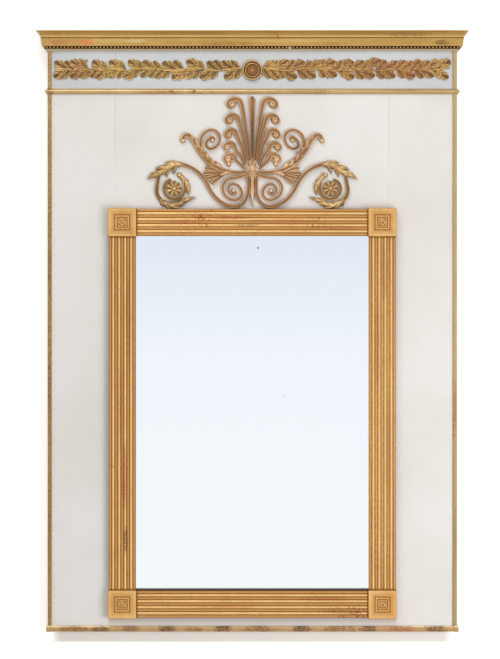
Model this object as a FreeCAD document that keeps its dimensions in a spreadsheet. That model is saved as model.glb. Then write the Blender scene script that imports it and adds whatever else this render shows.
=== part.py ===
"""Trumeau mirror: a painted board case that hangs on a wall, with a gilt cornice, frieze and crest
over a reeded mirror frame.

Frame: +X to the viewer's right, the front faces -Y, +Z up. The wall is the plane Y = 0, the bottom
edge is Z = 0, and X = 0 is the middle. Everything is in millimetres.
"""

import FreeCAD
import Part
import Sketcher

import math
import os

V = FreeCAD.Vector
DOC = FreeCAD.newDocument("TrumeauMirror")

# ---------------------------------------------------------------------------------------------
# Driving dimensions
# ---------------------------------------------------------------------------------------------

DIMENSIONS = {
    # case
    "case_wide": 1160,
    "case_tall": 1682,
    "batten_thick": 25,
    "batten_wide": 60,
    "board_thick": 20,
    "crown_thick": 18,
    "cross_batten_gap": 16.4,   # frame's top to the batten over the mirror
    # frieze and rails; each drop is measured down from the case's top
    "frieze_drop": 151,         # to the joint between the frieze board and the panel boards
    "mid_rail_drop": 158.6,
    "mid_rail_tall": 15.2,
    "mid_rail_proj": 8,
    "mid_rail_lip": 2,
    "bed_drop": 36,
    "bed_tall": 5.5,
    "bed_proj": 5,
    "pearl_strip_tall": 6.5,
    "pearl_strip_proj": 7,
    "pearl_wide": 6,
    "pearl_rise": 4,
    "pearl_pitch": 10.1,
    # cornice profile, from its lower edge up
    "fascia_proj": 15.5,
    "fascia_tall": 21.5,
    "fascia_batter": 2.5,
    "quirk_tall": 2.5,
    "quirk_proj": 15.5,
    "fillet_proj": 19.5,
    "fillet_tall": 5,
    "cove_proj": 28,
    "cove_radius": 11,
    "tip_proj": 30,
    "tip_tall": 3,
    # edge strips and foot
    "edge_wide": 11,
    "edge_proj": 6,
    "edge_ease": 1.5,
    "foot_tall": 15.5,
    "foot_proj": 8,
    "foot_ease": 2.5,
    "foot_block_wide": 12,
    "foot_block_tall": 18,
    "foot_block_proj": 11,
    "foot_block_over": 4,       # how far the block stands out past the case's side
    # mirror frame
    "frame_wide": 815,
    "frame_tall": 1159,
    "frame_low": 39.6,
    "block_side": 80,
    "block_thick": 25,
    "block_border": 5,
    "block_channel": 3,
    "block_plateau": 50,
    "block_well": 36,
    "block_well_deep": 4,
    "rail_wide": 76.2,
    "rail_thick": 22,
    "rail_inset": 2,
    "reed_count": 9,
    "reed_groove": 2.2,
    "rosette_round": 26,
    "petal_rise": 2.4,
    "frame_lap": 19.5,          # how far the frame lies over the boards
    # glass and backing
    "rebate_wide": 8,
    "rebate_deep": 14,
    "glass_gap": 2,
    "glass_thick": 4,
    "backing_thick": 9.7,
    # turn buttons
    "button_long": 46,
    "button_wide": 14,
    "button_thick": 3,
    "button_clip": 3,
    "button_gap": 0.2,
    "button_reach": 15,         # how far a button's tip reaches over the backing
    "button_pivot": 9,          # pivot to the button's tail end
    "button_rise": 260,         # buttons above and below the glass centre
    "pivot_screw": 4,
    "pivot_play": 0.1,          # on the diameter
    # hangers
    "strap_wide": 18,
    "strap_long": 52,
    "strap_thick": 1.5,
    "strap_lift": 0.4,
    "ring_wire": 3,
    "ring_play": 0.1,           # on the diameter
    "ring_inside": 24,
    "ring_leg": 8,
    "hanger_drop": 242,         # case's top to the rings' axis
    "hanger_in": 105,           # hanger's middle, in from the case's side
    # screws
    "screw_round": 4.4,
    "screw_head": 9,
    "screw_head_deep": 2.6,
    "screw_play": 0.3,          # on the diameter
    "hanger_screw_long": 15,
    # ornament
    "patera_drop": 91,          # case's top to the patera's middle
    "patera_round": 59.4,
    "patera_thick": 9,
    "garland_near": 33,
    "garland_clear": 3,         # garland's end to the frieze strip
    "garland_drop": 88,         # case's top to the stem
    "garland_wave": 5,
    "garland_pitch": 47,
    "garland_stem": 4,
    "leaf_long": 44,
    "leaf_wide": 25,
    "leaf_thick": 4,
    "crest_low_gap": 2,         # frame's top to the crest
    "crest_high_gap": 6.4,      # crest to the mid rail
    "crest_thick": 14,
    "band_wide": 9,
}


class Size:
    """A length that knows its number and the sheet formula that gives it."""

    def __init__(self, number, formula):
        self.number = number
        self.formula = formula

    def __float__(self):
        return float(self.number)

    def __neg__(self):
        return Size(-self.number, f"-({self.formula})")

    def __add__(self, other):
        other = as_size(other)
        return Size(self.number + other.number, f"({self.formula} + {other.formula})")

    def __sub__(self, other):
        other = as_size(other)
        return Size(self.number - other.number, f"({self.formula} - {other.formula})")

    def __mul__(self, other):
        other = as_size(other)
        return Size(self.number * other.number, f"({self.formula} * {other.formula})")

    def __truediv__(self, other):
        other = as_size(other)
        return Size(self.number / other.number, f"({self.formula} / {other.formula})")

    __radd__ = __add__
    __rmul__ = __mul__

    def __rsub__(self, other):
        return as_size(other) - self


def as_size(thing):
    if isinstance(thing, Size):
        return thing
    return Size(float(thing), repr(float(thing)))


class Sheet:
    """The spreadsheet of driving dimensions; each alias reads back as a Size."""

    def __init__(self, dimensions):
        sheet = DOC.addObject("Spreadsheet::Sheet", "Dims")
        for row, (alias, number) in enumerate(dimensions.items(), start=1):
            sheet.set(f"A{row}", alias)
            sheet.set(f"B{row}", str(number))
            sheet.setAlias(f"B{row}", alias)
            setattr(self, alias, Size(number, f"Dims.{alias}"))


D = Sheet(DIMENSIONS)
DOC.recompute()

# Places that several pieces share
HALF = D.case_wide / 2
PANEL = D.batten_thick + D.board_thick                      # depth of the panel's front face
TOP = D.case_tall + D.crown_thick
BED_LOW = D.case_tall - D.bed_drop
PEARL_LOW = BED_LOW + D.bed_tall
CORNICE_LOW = PEARL_LOW + D.pearl_strip_tall
FRIEZE_LOW = D.case_tall - D.frieze_drop
MID_RAIL_LOW = D.case_tall - D.mid_rail_drop
FRAME_MID = D.frame_low + D.frame_tall / 2
FRAME_TOP = D.frame_low + D.frame_tall
OPEN_WIDE = D.frame_wide - 2 * D.frame_lap                  # opening in the boards
OPEN_LOW = D.frame_low + D.frame_lap
OPEN_TOP = FRAME_TOP - D.frame_lap
EDGE_IN = D.rail_inset + D.rail_wide                        # frame's outer edge to the glass
GLASS_WIDE = D.frame_wide - 2 * (EDGE_IN - D.rebate_wide + D.glass_gap)
GLASS_TALL = D.frame_tall - 2 * (EDGE_IN - D.rebate_wide + D.glass_gap)

# ---------------------------------------------------------------------------------------------
# Making things
# ---------------------------------------------------------------------------------------------

PARTS = []


def keep(piece):
    PARTS.append(piece)
    return piece


def group(label, pieces):
    """Several alike pieces that share one node, each still a solid of its own."""
    for piece in pieces:
        PARTS.remove(piece)
    whole = DOC.addObject("Part::Compound", label)
    whole.Label = label
    whole.Links = pieces
    return keep(whole)


def place(piece, x=0, y=0, z=0, axis=V(0, 1, 0), turn=0):
    """Set a piece's place, bound to the sheet, and its turn in degrees about an axis."""
    piece.Placement = FreeCAD.Placement(V(float(x), float(y), float(z)), FreeCAD.Rotation(axis, turn))
    for letter, length in (("x", x), ("y", y), ("z", z)):
        if isinstance(length, Size):
            piece.setExpression(f".Placement.Base.{letter}", length.formula)
    return piece


def new_body(label):
    body = DOC.addObject("PartDesign::Body", label)
    body.Label = label
    return body


def pin_point(sketch, geometry, point, x, y):
    """Hold one point of a sketch at a place that the sheet gives."""
    for kind, length, axis in (("DistanceX", x, -2), ("DistanceY", y, -1)):
        length = as_size(length)
        if abs(length.number) < 1e-9:
            sketch.addConstraint(Sketcher.Constraint("PointOnObject", geometry, point, axis))
        else:
            rule = Sketcher.Constraint(kind, -1, 1, geometry, point, length.number)
            index = sketch.addConstraint(rule)
            sketch.setExpression(f"Constraints[{index}]", length.formula)


def set_radius(sketch, geometry, radius):
    radius = as_size(radius)
    index = sketch.addConstraint(Sketcher.Constraint("Radius", geometry, radius.number))
    sketch.setExpression(f"Constraints[{index}]", radius.formula)


def arc_between(start, end, radius, anticlockwise):
    """The short arc from start to end; also says whether its own first point is start."""
    chord = end - start
    rise = math.sqrt(max(radius * radius - chord.Length ** 2 / 4, 0))
    left = V(-chord.y, chord.x, 0).normalize()
    centre = (start + end) * 0.5 + left * (rise if anticlockwise else -rise)
    first, last = (start, end) if anticlockwise else (end, start)
    angles = [math.atan2(p.y - centre.y, p.x - centre.x) for p in (first, last)]
    if angles[1] <= angles[0]:
        angles[1] += 2 * math.pi
    return Part.ArcOfCircle(Part.Circle(centre, V(0, 0, 1), radius), angles[0], angles[1])


def draw(body, name, plane, loops=(), circles=()):
    """A sketch on one of the body's own planes.

    A loop is a list of corners (x, y), or (x, y, radius) where an arc runs on to the next corner:
    anticlockwise for a positive radius and clockwise for a negative one.
    """
    sketch = body.newObject("Sketcher::SketchObject", name)
    origin = [item for item in body.Origin.OriginFeatures if item.Role == plane][0]
    sketch.AttachmentSupport = [(origin, "")]
    sketch.MapMode = "FlatFace"
    for loop in loops:
        spots = [V(float(corner[0]), float(corner[1]), 0) for corner in loop]
        ends = []
        for i, corner in enumerate(loop):
            start, end = spots[i], spots[(i + 1) % len(loop)]
            if len(corner) == 3:
                anticlockwise = float(corner[2]) > 0
                radius = corner[2] if anticlockwise else -corner[2]
                edge = sketch.addGeometry(arc_between(start, end, float(radius), anticlockwise), False)
                set_radius(sketch, edge, radius)
                ends.append((edge, 1, 2) if anticlockwise else (edge, 2, 1))
            else:
                edge = sketch.addGeometry(Part.LineSegment(start, end), False)
                ends.append((edge, 1, 2))
        for i, (edge, first, last) in enumerate(ends):
            following = ends[(i + 1) % len(ends)]
            joined = Sketcher.Constraint("Coincident", edge, last, following[0], following[1])
            sketch.addConstraint(joined)
            pin_point(sketch, edge, first, loop[i][0], loop[i][1])
    for x, y, radius in circles:
        middle = V(float(x), float(y), 0)
        edge = sketch.addGeometry(Part.Circle(middle, V(0, 0, 1), float(radius)), False)
        pin_point(sketch, edge, 3, x, y)
        set_radius(sketch, edge, radius)
    return sketch


def grow(body, kind, name, sketch, length, reverse=False):
    """A Pad or a Pocket of a sketch, by a length that the sheet gives."""
    feature = body.newObject(f"PartDesign::{kind}", name)
    feature.Profile = sketch
    feature.Length = float(length)
    if isinstance(length, Size):
        feature.setExpression("Length", length.formula)
    feature.Reversed = reverse
    return feature


def cut_through(body, name, sketch):
    """A Pocket through everything, both ways from the sketch."""
    feature = body.newObject("PartDesign::Pocket", name)
    feature.Profile = sketch
    feature.Midplane = True
    feature.Type = "ThroughAll"
    return feature


def rectangle(left, low, right, top):
    return [(left, low), (right, low), (right, top), (left, top)]


def plate(label, outline, thick, back):
    """A flat piece: its front outline, padded forward from the depth where its back lies."""
    body = new_body(label)
    grow(body, "Pad", "Blank", draw(body, "Outline", "XZ_Plane", [outline]), thick)
    return keep(place(body, y=-as_size(back)))


def flat_faces(corners):
    """One face where the four corners are in a plane, or else two triangles."""
    a, b, c, d = corners
    if abs((b - a).cross(c - a).dot(d - a)) < 1e-6:
        return [Part.Face(Part.makePolygon([a, b, c, d, a]))]
    return [Part.Face(Part.makePolygon(half + half[:1])) for half in ([a, b, c], [a, c, d])]


def ringed_solid(rings):
    """A solid with flat facets between rings of as many points each, closed at both ends."""
    faces = [Part.Face(Part.makePolygon(ring + ring[:1])) for ring in (rings[0], rings[-1])]
    for low, high in zip(rings, rings[1:]):
        for i in range(len(low)):
            j = (i + 1) % len(low)
            faces += flat_faces([low[i], low[j], high[j], high[i]])
    solid = Part.makeSolid(Part.makeShell(faces))
    if solid.Volume < 0:
        solid.reverse()
    return solid


def faceted_dome(middle, sides, profile):
    """A round form cut in flats, on an axis towards -Y: (radius, depth) pairs from its foot up."""
    rings = []
    for radius, depth in profile:
        angles = [2 * math.pi * (k + 0.5) / sides for k in range(sides)]
        rings.append([middle + V(radius * math.cos(t), -depth, radius * math.sin(t)) for t in angles])
    return ringed_solid(rings)


# ---------------------------------------------------------------------------------------------
# Case: boards, battens, crown
# ---------------------------------------------------------------------------------------------

def board(label, left, low, right, top):
    return plate(label, rectangle(left, low, right, top), D.board_thick, D.batten_thick)


def batten(label, left, low, right, top):
    return plate(label, rectangle(left, low, right, top), D.batten_thick, 0)


def build_case():
    joint = OPEN_WIDE / 2
    board("left_side_board", -HALF, as_size(0), -joint, FRIEZE_LOW)
    board("right_side_board", joint, as_size(0), HALF, FRIEZE_LOW)
    board("top_centre_board", -joint, OPEN_TOP, joint, FRIEZE_LOW)
    board("bottom_centre_board", -joint, as_size(0), joint, OPEN_LOW)
    board("frieze_board", -HALF, FRIEZE_LOW, HALF, D.case_tall)
    between = HALF - D.batten_wide
    tie_low = FRIEZE_LOW - D.batten_wide / 2
    batten("left_batten", -HALF, as_size(0), -between, D.case_tall)
    batten("right_batten", between, as_size(0), HALF, D.case_tall)
    batten("top_batten", -between, D.case_tall - D.batten_wide, between, D.case_tall)
    batten("bottom_batten", -between, as_size(0), between, D.batten_wide)
    over_frame = FRAME_TOP + D.cross_batten_gap
    batten("cross_batten", -between, over_frame, between, over_frame + D.batten_wide)
    batten("tie_batten", -between, tie_low, between, tie_low + D.batten_wide)
    crown = new_body("crown_board")
    outline = rectangle(-HALF, -PANEL, HALF, as_size(0))
    grow(crown, "Pad", "Blank", draw(crown, "Outline", "XY_Plane", [outline]), D.crown_thick)
    keep(place(crown, z=D.case_tall))


build_case()

# ---------------------------------------------------------------------------------------------
# Mouldings: a section (Y = -projection, Z = height) run along X, mitred where it turns a corner
# ---------------------------------------------------------------------------------------------


def moulding(label, section, run, reach=0, mitres=""):
    """A straight run. At an end named in mitres, "L" or "R", it is cut at 45 degrees, so that its
    back is as long as the run and its tip goes on by the reach."""
    body = new_body(label)
    reach = as_size(reach)
    back_left = reach if "L" in mitres else as_size(0)
    back_right = back_left + run
    length = back_right + reach if "R" in mitres else back_right
    grow(body, "Pad", "Run", draw(body, "Section", "YZ_Plane", [section]), length)
    if "L" in mitres:
        corner = [(as_size(0), as_size(0)), (as_size(0), -reach), (back_left, as_size(0))]
        cut_through(body, "LeftMitre", draw(body, "LeftMitreLine", "XY_Plane", [corner]))
    if "R" in mitres:
        corner = [(back_right, as_size(0)), (length, -reach), (length, as_size(0))]
        cut_through(body, "RightMitre", draw(body, "RightMitreLine", "XY_Plane", [corner]))
    return keep(body)


def wrap_moulding(name, section, reach, low):
    """A moulding along the front and back to the wall on both sides, in three mitred lengths."""
    across = V(0, 0, 1)
    front = moulding(f"{name}_front", section, D.case_wide, reach, "LR")
    place(front, x=-HALF - reach, y=-PANEL, z=low)
    left = moulding(f"{name}_left_return", section, PANEL, reach, "R")
    place(left, x=-HALF, z=low, axis=across, turn=-90)
    right = moulding(f"{name}_right_return", section, PANEL, reach, "L")
    place(right, x=HALF, y=-PANEL - reach, z=low, axis=across, turn=90)
    return [front, left, right]


def cornice_section():
    fascia_top = D.fascia_tall
    quirk_top = fascia_top + D.quirk_tall
    fillet_top = quirk_top + D.fillet_tall
    cornice_tall = TOP - CORNICE_LOW
    tip_low = cornice_tall - D.tip_tall
    return [
        (as_size(0), as_size(0)),
        (-D.fascia_proj, as_size(0)),
        (-D.fascia_proj - D.fascia_batter, fascia_top),
        (-D.quirk_proj, fascia_top),
        (-D.quirk_proj, quirk_top),
        (-D.fillet_proj, quirk_top),
        (-D.fillet_proj, fillet_top, D.cove_radius),
        (-D.cove_proj, tip_low),
        (-D.tip_proj, tip_low),
        (-D.tip_proj, cornice_tall),
        (as_size(0), cornice_tall),
    ]


def torus_section(proj, tall, lip):
    """A half-round bead between two lips."""
    radius = (tall - 2 * lip) / 2
    flat = proj - radius
    return [
        (as_size(0), as_size(0)),
        (-flat, as_size(0)),
        (-flat, lip, -radius),
        (-proj, tall / 2, -radius),
        (-flat, tall - lip),
        (-flat, tall),
        (as_size(0), tall),
    ]


def eased_section(proj, tall, ease):
    """A square edge whose two front corners are planed off."""
    return [
        (as_size(0), as_size(0)),
        (-proj + ease, as_size(0)),
        (-proj, ease),
        (-proj, tall - ease),
        (-proj + ease, tall),
        (as_size(0), tall),
    ]


def pearl_row(label, run, mitres):
    """A strip with a row of pearls along its face, in the moulding's own frame."""
    tall, proj, reach = (float(size) for size in (D.pearl_strip_tall, D.pearl_strip_proj, D.pearl_strip_proj))
    start = reach if "L" in mitres else 0
    length = start + float(run) + (reach if "R" in mitres else 0)
    strip = Part.makeBox(length, proj, tall, V(0, -proj, 0))
    for end, back in ((0, start), (length, start + float(run))):
        if back != end:
            corner = Part.makePolygon([V(end, 0, 0), V(end, -reach, 0), V(back, 0, 0), V(end, 0, 0)])
            strip = strip.cut(Part.Face(corner).extrude(V(0, 0, tall)))
    pitch = float(D.pearl_pitch)
    count = int((length - float(D.pearl_wide)) / pitch) + 1
    first = (length - (count - 1) * pitch) / 2
    across, rise = float(D.pearl_wide), float(D.pearl_rise)
    dome = [(across / 2, 0), (across * 0.28, rise)]
    beads = [faceted_dome(V(first + k * pitch, -proj, tall / 2), 6, dome) for k in range(count)]
    piece = DOC.addObject("Part::Feature", label)
    piece.Label = label
    piece.Shape = strip.fuse(beads)
    return keep(piece)


def build_mouldings():
    across = V(0, 0, 1)
    wrap_moulding("cornice", cornice_section(), D.tip_proj, CORNICE_LOW)
    bed = rectangle(-D.bed_proj, as_size(0), as_size(0), D.bed_tall)
    group("bed_fillets", wrap_moulding("bed_fillet", bed, D.bed_proj, BED_LOW))
    rail = torus_section(D.mid_rail_proj, D.mid_rail_tall, D.mid_rail_lip)
    wrap_moulding("mid_rail", rail, D.mid_rail_proj, MID_RAIL_LOW)
    reach = D.pearl_strip_proj
    row = pearl_row("pearl_row_front", D.case_wide, "LR")
    place(row, x=-HALF - reach, y=-PANEL, z=PEARL_LOW)
    left = pearl_row("pearl_row_left_return", PANEL, "R")
    place(left, x=-HALF, z=PEARL_LOW, axis=across, turn=-90)
    right = pearl_row("pearl_row_right_return", PANEL, "L")
    place(right, x=HALF, y=-PANEL - reach, z=PEARL_LOW, axis=across, turn=90)
    group("pearl_row_returns", [left, right])
    strip = eased_section(D.edge_proj, D.edge_wide, D.edge_ease)
    panel_run = MID_RAIL_LOW - D.foot_block_tall
    rail_top = MID_RAIL_LOW + D.mid_rail_tall
    for name, run, low in (("edge_strip", panel_run, D.foot_block_tall),
                           ("frieze_strip", BED_LOW - rail_top, rail_top)):
        left = moulding(f"left_{name}", strip, run)
        place(left, x=-HALF + D.edge_wide, y=-PANEL, z=low, turn=-90)
        right = moulding(f"right_{name}", strip, run)
        place(right, x=HALF, y=-PANEL, z=low, turn=-90)
    block_in = D.foot_block_wide - D.foot_block_over
    foot = moulding("bottom_rail", eased_section(D.foot_proj, D.foot_tall, D.foot_ease),
                    D.case_wide - 2 * block_in)
    place(foot, x=-HALF + block_in, y=-PANEL)
    for name, left in (("left", -HALF - D.foot_block_over), ("right", HALF - block_in)):
        outline = rectangle(as_size(0), as_size(0), D.foot_block_wide, D.foot_block_tall)
        block = plate(f"{name}_foot_block", outline, D.foot_block_proj, PANEL)
        place(block, x=left, y=-PANEL)


build_mouldings()

# ---------------------------------------------------------------------------------------------
# Mirror frame: reeded rails between corner blocks; glass and backing in its rebate
# ---------------------------------------------------------------------------------------------

RAIL_RUN_WIDE = D.frame_wide - 2 * D.block_side
RAIL_RUN_TALL = D.frame_tall - 2 * D.block_side


def reeded_rail(label, run):
    """A rail along X. Its outer edge lies at Z = 0, and its rebate is at the back of the other."""
    body = new_body(label)
    lip = D.rail_wide - D.rebate_wide
    section = [
        (as_size(0), as_size(0)),
        (-D.rail_thick, as_size(0)),
        (-D.rail_thick, D.rail_wide),
        (-D.rebate_deep, D.rail_wide),
        (-D.rebate_deep, lip),
        (as_size(0), lip),
    ]
    grow(body, "Pad", "Rail", draw(body, "Section", "YZ_Plane", [section]), run)
    pitch = D.rail_wide / D.reed_count
    depth = D.reed_groove
    round_of_reed = (pitch * pitch / 4 + depth * depth) / (2 * depth)
    groove = [
        (-D.rail_thick, -pitch / 2),
        (-D.rail_thick, pitch / 2, round_of_reed),
        (-D.rail_thick + depth, as_size(0), round_of_reed),
    ]
    outline = draw(body, "Groove", "YZ_Plane", [groove])
    cut = cut_through(body, "FirstGroove", outline)
    row = body.newObject("PartDesign::LinearPattern", "Grooves")
    row.Originals = [cut]
    row.Direction = (outline, ["V_Axis"])
    row.Length = float(D.rail_wide)
    row.setExpression("Length", D.rail_wide.formula)
    row.Occurrences = int(float(D.reed_count)) + 1
    row.setExpression("Occurrences", (D.reed_count + 1).formula)
    body.Tip = row
    return keep(body)


def square(half):
    return rectangle(-half, -half, half, half)


def corner_block(label):
    """A square block about its own middle, with a border, a channel, a raised square and a rosette
    in its well. Its back is notched at the high-X, high-Z corner, which meets the glass."""
    body = new_body(label)
    half = D.block_side / 2
    grow(body, "Pad", "Block", draw(body, "Outline", "XZ_Plane", [square(half)]), D.block_thick)

    def cut_from_face(name, loops, depth):
        sketch = draw(body, f"{name}Outline", "XZ_Plane", loops)
        sketch.AttachmentOffset = FreeCAD.Placement(V(0, 0, float(D.block_thick)), FreeCAD.Rotation())
        sketch.setExpression(".AttachmentOffset.Base.z", D.block_thick.formula)
        grow(body, "Pocket", name, sketch, depth)

    channel = [square(half - D.block_border), square(D.block_plateau / 2)]
    cut_from_face("Channel", channel, D.block_channel)
    cut_from_face("Well", [square(D.block_well / 2)], D.block_well_deep)
    notch_low = EDGE_IN - D.rebate_wide - half
    notch = draw(body, "NotchOutline", "XZ_Plane", [rectangle(notch_low, notch_low, half, half)])
    grow(body, "Pocket", "Notch", notch, D.rebate_deep, reverse=True)
    floor = D.block_thick - D.block_well_deep
    rose = D.rosette_round / 2
    middle = as_size(0)
    petal = [(rose * 0.2, middle), (rose * 0.7, -rose * 0.27), (rose, middle), (rose * 0.7, rose * 0.27)]
    petal_outline = draw(body, "PetalOutline", "XZ_Plane", [petal])
    first = grow(body, "Pad", "Petal", petal_outline, floor + D.petal_rise)
    ring = body.newObject("PartDesign::PolarPattern", "Petals")
    ring.Originals = [first]
    ring.Axis = (petal_outline, ["N_Axis"])
    ring.Angle = 360
    ring.Occurrences = 8
    body.Tip = ring
    turns = [math.radians(22.5 + 45 * k) for k in range(8)]
    octagon = [(rose * (0.3 * math.cos(t)), rose * (0.3 * math.sin(t))) for t in turns]
    heart = draw(body, "HeartOutline", "XZ_Plane", [octagon])
    body.Tip = grow(body, "Pad", "Heart", heart, floor + D.petal_rise * 1.4)
    return keep(body)


def build_frame():
    low, high = D.frame_low, D.frame_low + D.frame_tall
    half = D.frame_wide / 2
    run_half = RAIL_RUN_WIDE / 2
    inset = D.rail_inset
    rail = reeded_rail("frame_bottom_rail", RAIL_RUN_WIDE)
    place(rail, x=-run_half, y=-PANEL, z=low + inset)
    rail = reeded_rail("frame_top_rail", RAIL_RUN_WIDE)
    place(rail, x=run_half, y=-PANEL, z=high - inset, turn=180)
    rail = reeded_rail("frame_left_stile", RAIL_RUN_TALL)
    place(rail, x=-half + inset, y=-PANEL, z=high - D.block_side, turn=90)
    rail = reeded_rail("frame_right_stile", RAIL_RUN_TALL)
    place(rail, x=half - inset, y=-PANEL, z=low + D.block_side, turn=-90)
    x = half - D.block_side / 2
    bottom, top = low + D.block_side / 2, high - D.block_side / 2
    for name, x, z, turn in (("bottom_left", -x, bottom, 0), ("top_left", -x, top, 90),
                             ("top_right", x, top, 180), ("bottom_right", x, bottom, -90)):
        place(corner_block(f"{name}_corner_block"), x=x, y=-PANEL, z=z, turn=turn)


def build_glass():
    low = FRAME_MID - GLASS_TALL / 2
    pane = rectangle(-GLASS_WIDE / 2, low, GLASS_WIDE / 2, low + GLASS_TALL)
    glass_back = PANEL + D.rebate_deep - D.glass_thick
    plate("mirror_glass", pane, D.glass_thick, glass_back)
    plate("glass_backing", pane, D.backing_thick, glass_back - D.backing_thick)


build_frame()
build_glass()

# ---------------------------------------------------------------------------------------------
# Back fittings: turn buttons, hangers, screws
# ---------------------------------------------------------------------------------------------

HOLE_R = (D.screw_round + D.screw_play) / 2
HANGER_X = HALF - D.hanger_in
HANGER_UP = D.case_tall - D.hanger_drop
HANGER_SCREW_Z = (HANGER_UP - D.strap_long * 0.56, HANGER_UP - D.strap_long * 0.83)
HANGER_SPOTS = [(side * HANGER_X, z) for side in (-1, 1) for z in HANGER_SCREW_Z]
BUTTON_LIFT = D.button_gap
PIVOT_X = GLASS_WIDE / 2 - D.button_reach + D.button_long - D.button_pivot
BUTTON_ROWS = (("lower", FRAME_MID - D.button_rise), ("upper", FRAME_MID + D.button_rise))


def turn_button(label, side, z):
    """A flat bar with clipped corners that turns on a screw; its long end lies on the backing."""
    half = D.button_wide / 2
    clip = D.button_clip
    tip = D.button_long - D.button_pivot
    tail = D.button_pivot
    outline = [
        (-tail + clip, -half), (tip - clip, -half), (tip, -half + clip), (tip, half - clip),
        (tip - clip, half), (-tail + clip, half), (-tail, half - clip), (-tail, -half + clip),
    ]
    body = new_body(label)
    bore = (as_size(0), as_size(0), (D.pivot_screw + D.pivot_play) / 2)
    sketch = draw(body, "Outline", "XZ_Plane", [outline], [bore])
    grow(body, "Pad", "Bar", sketch, D.button_thick)
    back = PANEL - BUTTON_LIFT - D.button_thick
    place(keep(body), x=side * PIVOT_X, y=-back, z=z, turn=0 if side < 0 else 180)


def screw(x, head_y, z, shank, long, head, head_deep):
    """A pan-head screw that goes in towards -Y from the depth where its head's top lies."""
    top = V(float(x), head_y, float(z))
    profile = [(head * 0.35, 0), (head / 2, head_deep), (shank / 2, head_deep), (shank / 2, long)]
    return faceted_dome(top, 8, profile)


def screw_group(label, solids):
    group = DOC.addObject("Part::Feature", label)
    group.Label = label
    group.Shape = Part.makeCompound(solids)
    return keep(group)


def hanger_strap(label, side):
    """A steel strap whose top end is rolled round the ring's bar."""
    body = new_body(label)
    half = D.strap_wide / 2
    corner = half / 2
    outline = [
        (-half + corner, -D.strap_long), (half - corner, -D.strap_long), (half, -D.strap_long + corner),
        (half, as_size(0)), (-half, as_size(0)), (-half, -D.strap_long + corner),
    ]
    holes = [(as_size(0), z - HANGER_UP, HOLE_R) for z in HANGER_SCREW_Z]
    sketch = draw(body, "Outline", "XZ_Plane", [outline], holes)
    grow(body, "Pad", "Strap", sketch, D.strap_thick)
    bore = (D.ring_wire + D.ring_play) / 2
    across = D.strap_lift + bore
    roll = draw(body, "RollOutline", "YZ_Plane", circles=[(across, as_size(0), bore + D.strap_thick)])
    rolled = grow(body, "Pad", "Roll", roll, D.strap_wide)
    rolled.Midplane = True
    eye = draw(body, "EyeOutline", "YZ_Plane", circles=[(across, as_size(0), bore)])
    cut_through(body, "Eye", eye)
    place(keep(body), x=side * HANGER_X, y=-D.batten_thick + D.strap_thick, z=HANGER_UP)


def hanger_ring(label, side):
    """A D-ring: a round bar that turns in the strap's eye, and a flat bow that hangs from it."""
    wire = D.ring_wire
    inner = D.ring_inside / 2
    outer = inner + wire
    body = new_body(label)
    turns = [math.radians(180 + 30 * k) for k in range(7)]
    inside = [(inner * math.cos(t), inner * math.sin(t) - D.ring_leg) for t in turns]
    outside = [(outer * math.cos(t), outer * math.sin(t) - D.ring_leg) for t in reversed(turns)]
    bow = [(-outer, wire / 2), (-inner, wire / 2)] + inside + [(inner, wire / 2), (outer, wire / 2)] + outside
    sketch = draw(body, "BowOutline", "XZ_Plane", [bow])
    bow_pad = grow(body, "Pad", "Bow", sketch, wire)
    bow_pad.Midplane = True
    bar = draw(body, "BarOutline", "YZ_Plane", circles=[(as_size(0), as_size(0), wire / 2)])
    bar_pad = grow(body, "Pad", "Bar", bar, 2 * inner + wire)
    bar_pad.Midplane = True
    eye_y = D.strap_thick + D.strap_lift + (wire + D.ring_play) / 2
    place(keep(body), x=side * HANGER_X, y=-D.batten_thick + eye_y, z=HANGER_UP)


def build_fittings():
    shank, head, sink = float(D.screw_round), float(D.screw_head), float(D.screw_head_deep)
    on_strap = -float(D.batten_thick) + float(D.strap_thick) + sink
    fittings = [screw(x, on_strap, z, shank, float(D.hanger_screw_long), head, sink)
                for x, z in HANGER_SPOTS]
    pivot_top = -float(PANEL - BUTTON_LIFT * 2 - D.button_thick) + sink
    for side_name, side in (("left", -1), ("right", 1)):
        hanger_strap(f"{side_name}_hanger_strap", side)
        hanger_ring(f"{side_name}_hanger_ring", side)
        for row, z in BUTTON_ROWS:
            turn_button(f"{side_name}_{row}_turn_button", side, z)
            fittings.append(screw(side * PIVOT_X, pivot_top, z, float(D.pivot_screw),
                                  float(D.hanger_screw_long), head, sink))
    screw_group("fitting_screws", fittings)


build_fittings()

# ---------------------------------------------------------------------------------------------
# Carved and cast ornament. It lies on the panel's face: u runs outward from the middle, v runs up
# from the ornament's own origin, and the depth runs forward from the face.
# ---------------------------------------------------------------------------------------------


def spot(u, v, depth=0.0):
    return V(u, -depth, v)


def arc_walk(points, heading, step):
    """Places (u, v, direction) along tangent arcs through the points, a step's turn or less apart.
    The first arc sets off along heading; angles are in radians."""
    places = [(points[0][0], points[0][1], heading)]
    for (u0, v0), (u1, v1) in zip(points, points[1:]):
        chord = math.hypot(u1 - u0, v1 - v0)
        half_turn = (math.atan2(v1 - v0, u1 - u0) - heading + math.pi) % (2 * math.pi) - math.pi
        if abs(half_turn) < 0.02:
            heading += half_turn
            places.append((u1, v1, heading))
            continue
        radius = chord / (2 * math.sin(half_turn))
        middle = (u0 - radius * math.sin(heading), v0 + radius * math.cos(heading))
        count = math.ceil(abs(2 * half_turn) / step)
        for k in range(1, count + 1):
            turned_by = heading + 2 * half_turn * k / count
            u = middle[0] + radius * math.sin(turned_by)
            v = middle[1] - radius * math.cos(turned_by)
            places.append((u, v, turned_by))
        heading += 2 * half_turn
    return places


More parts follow.
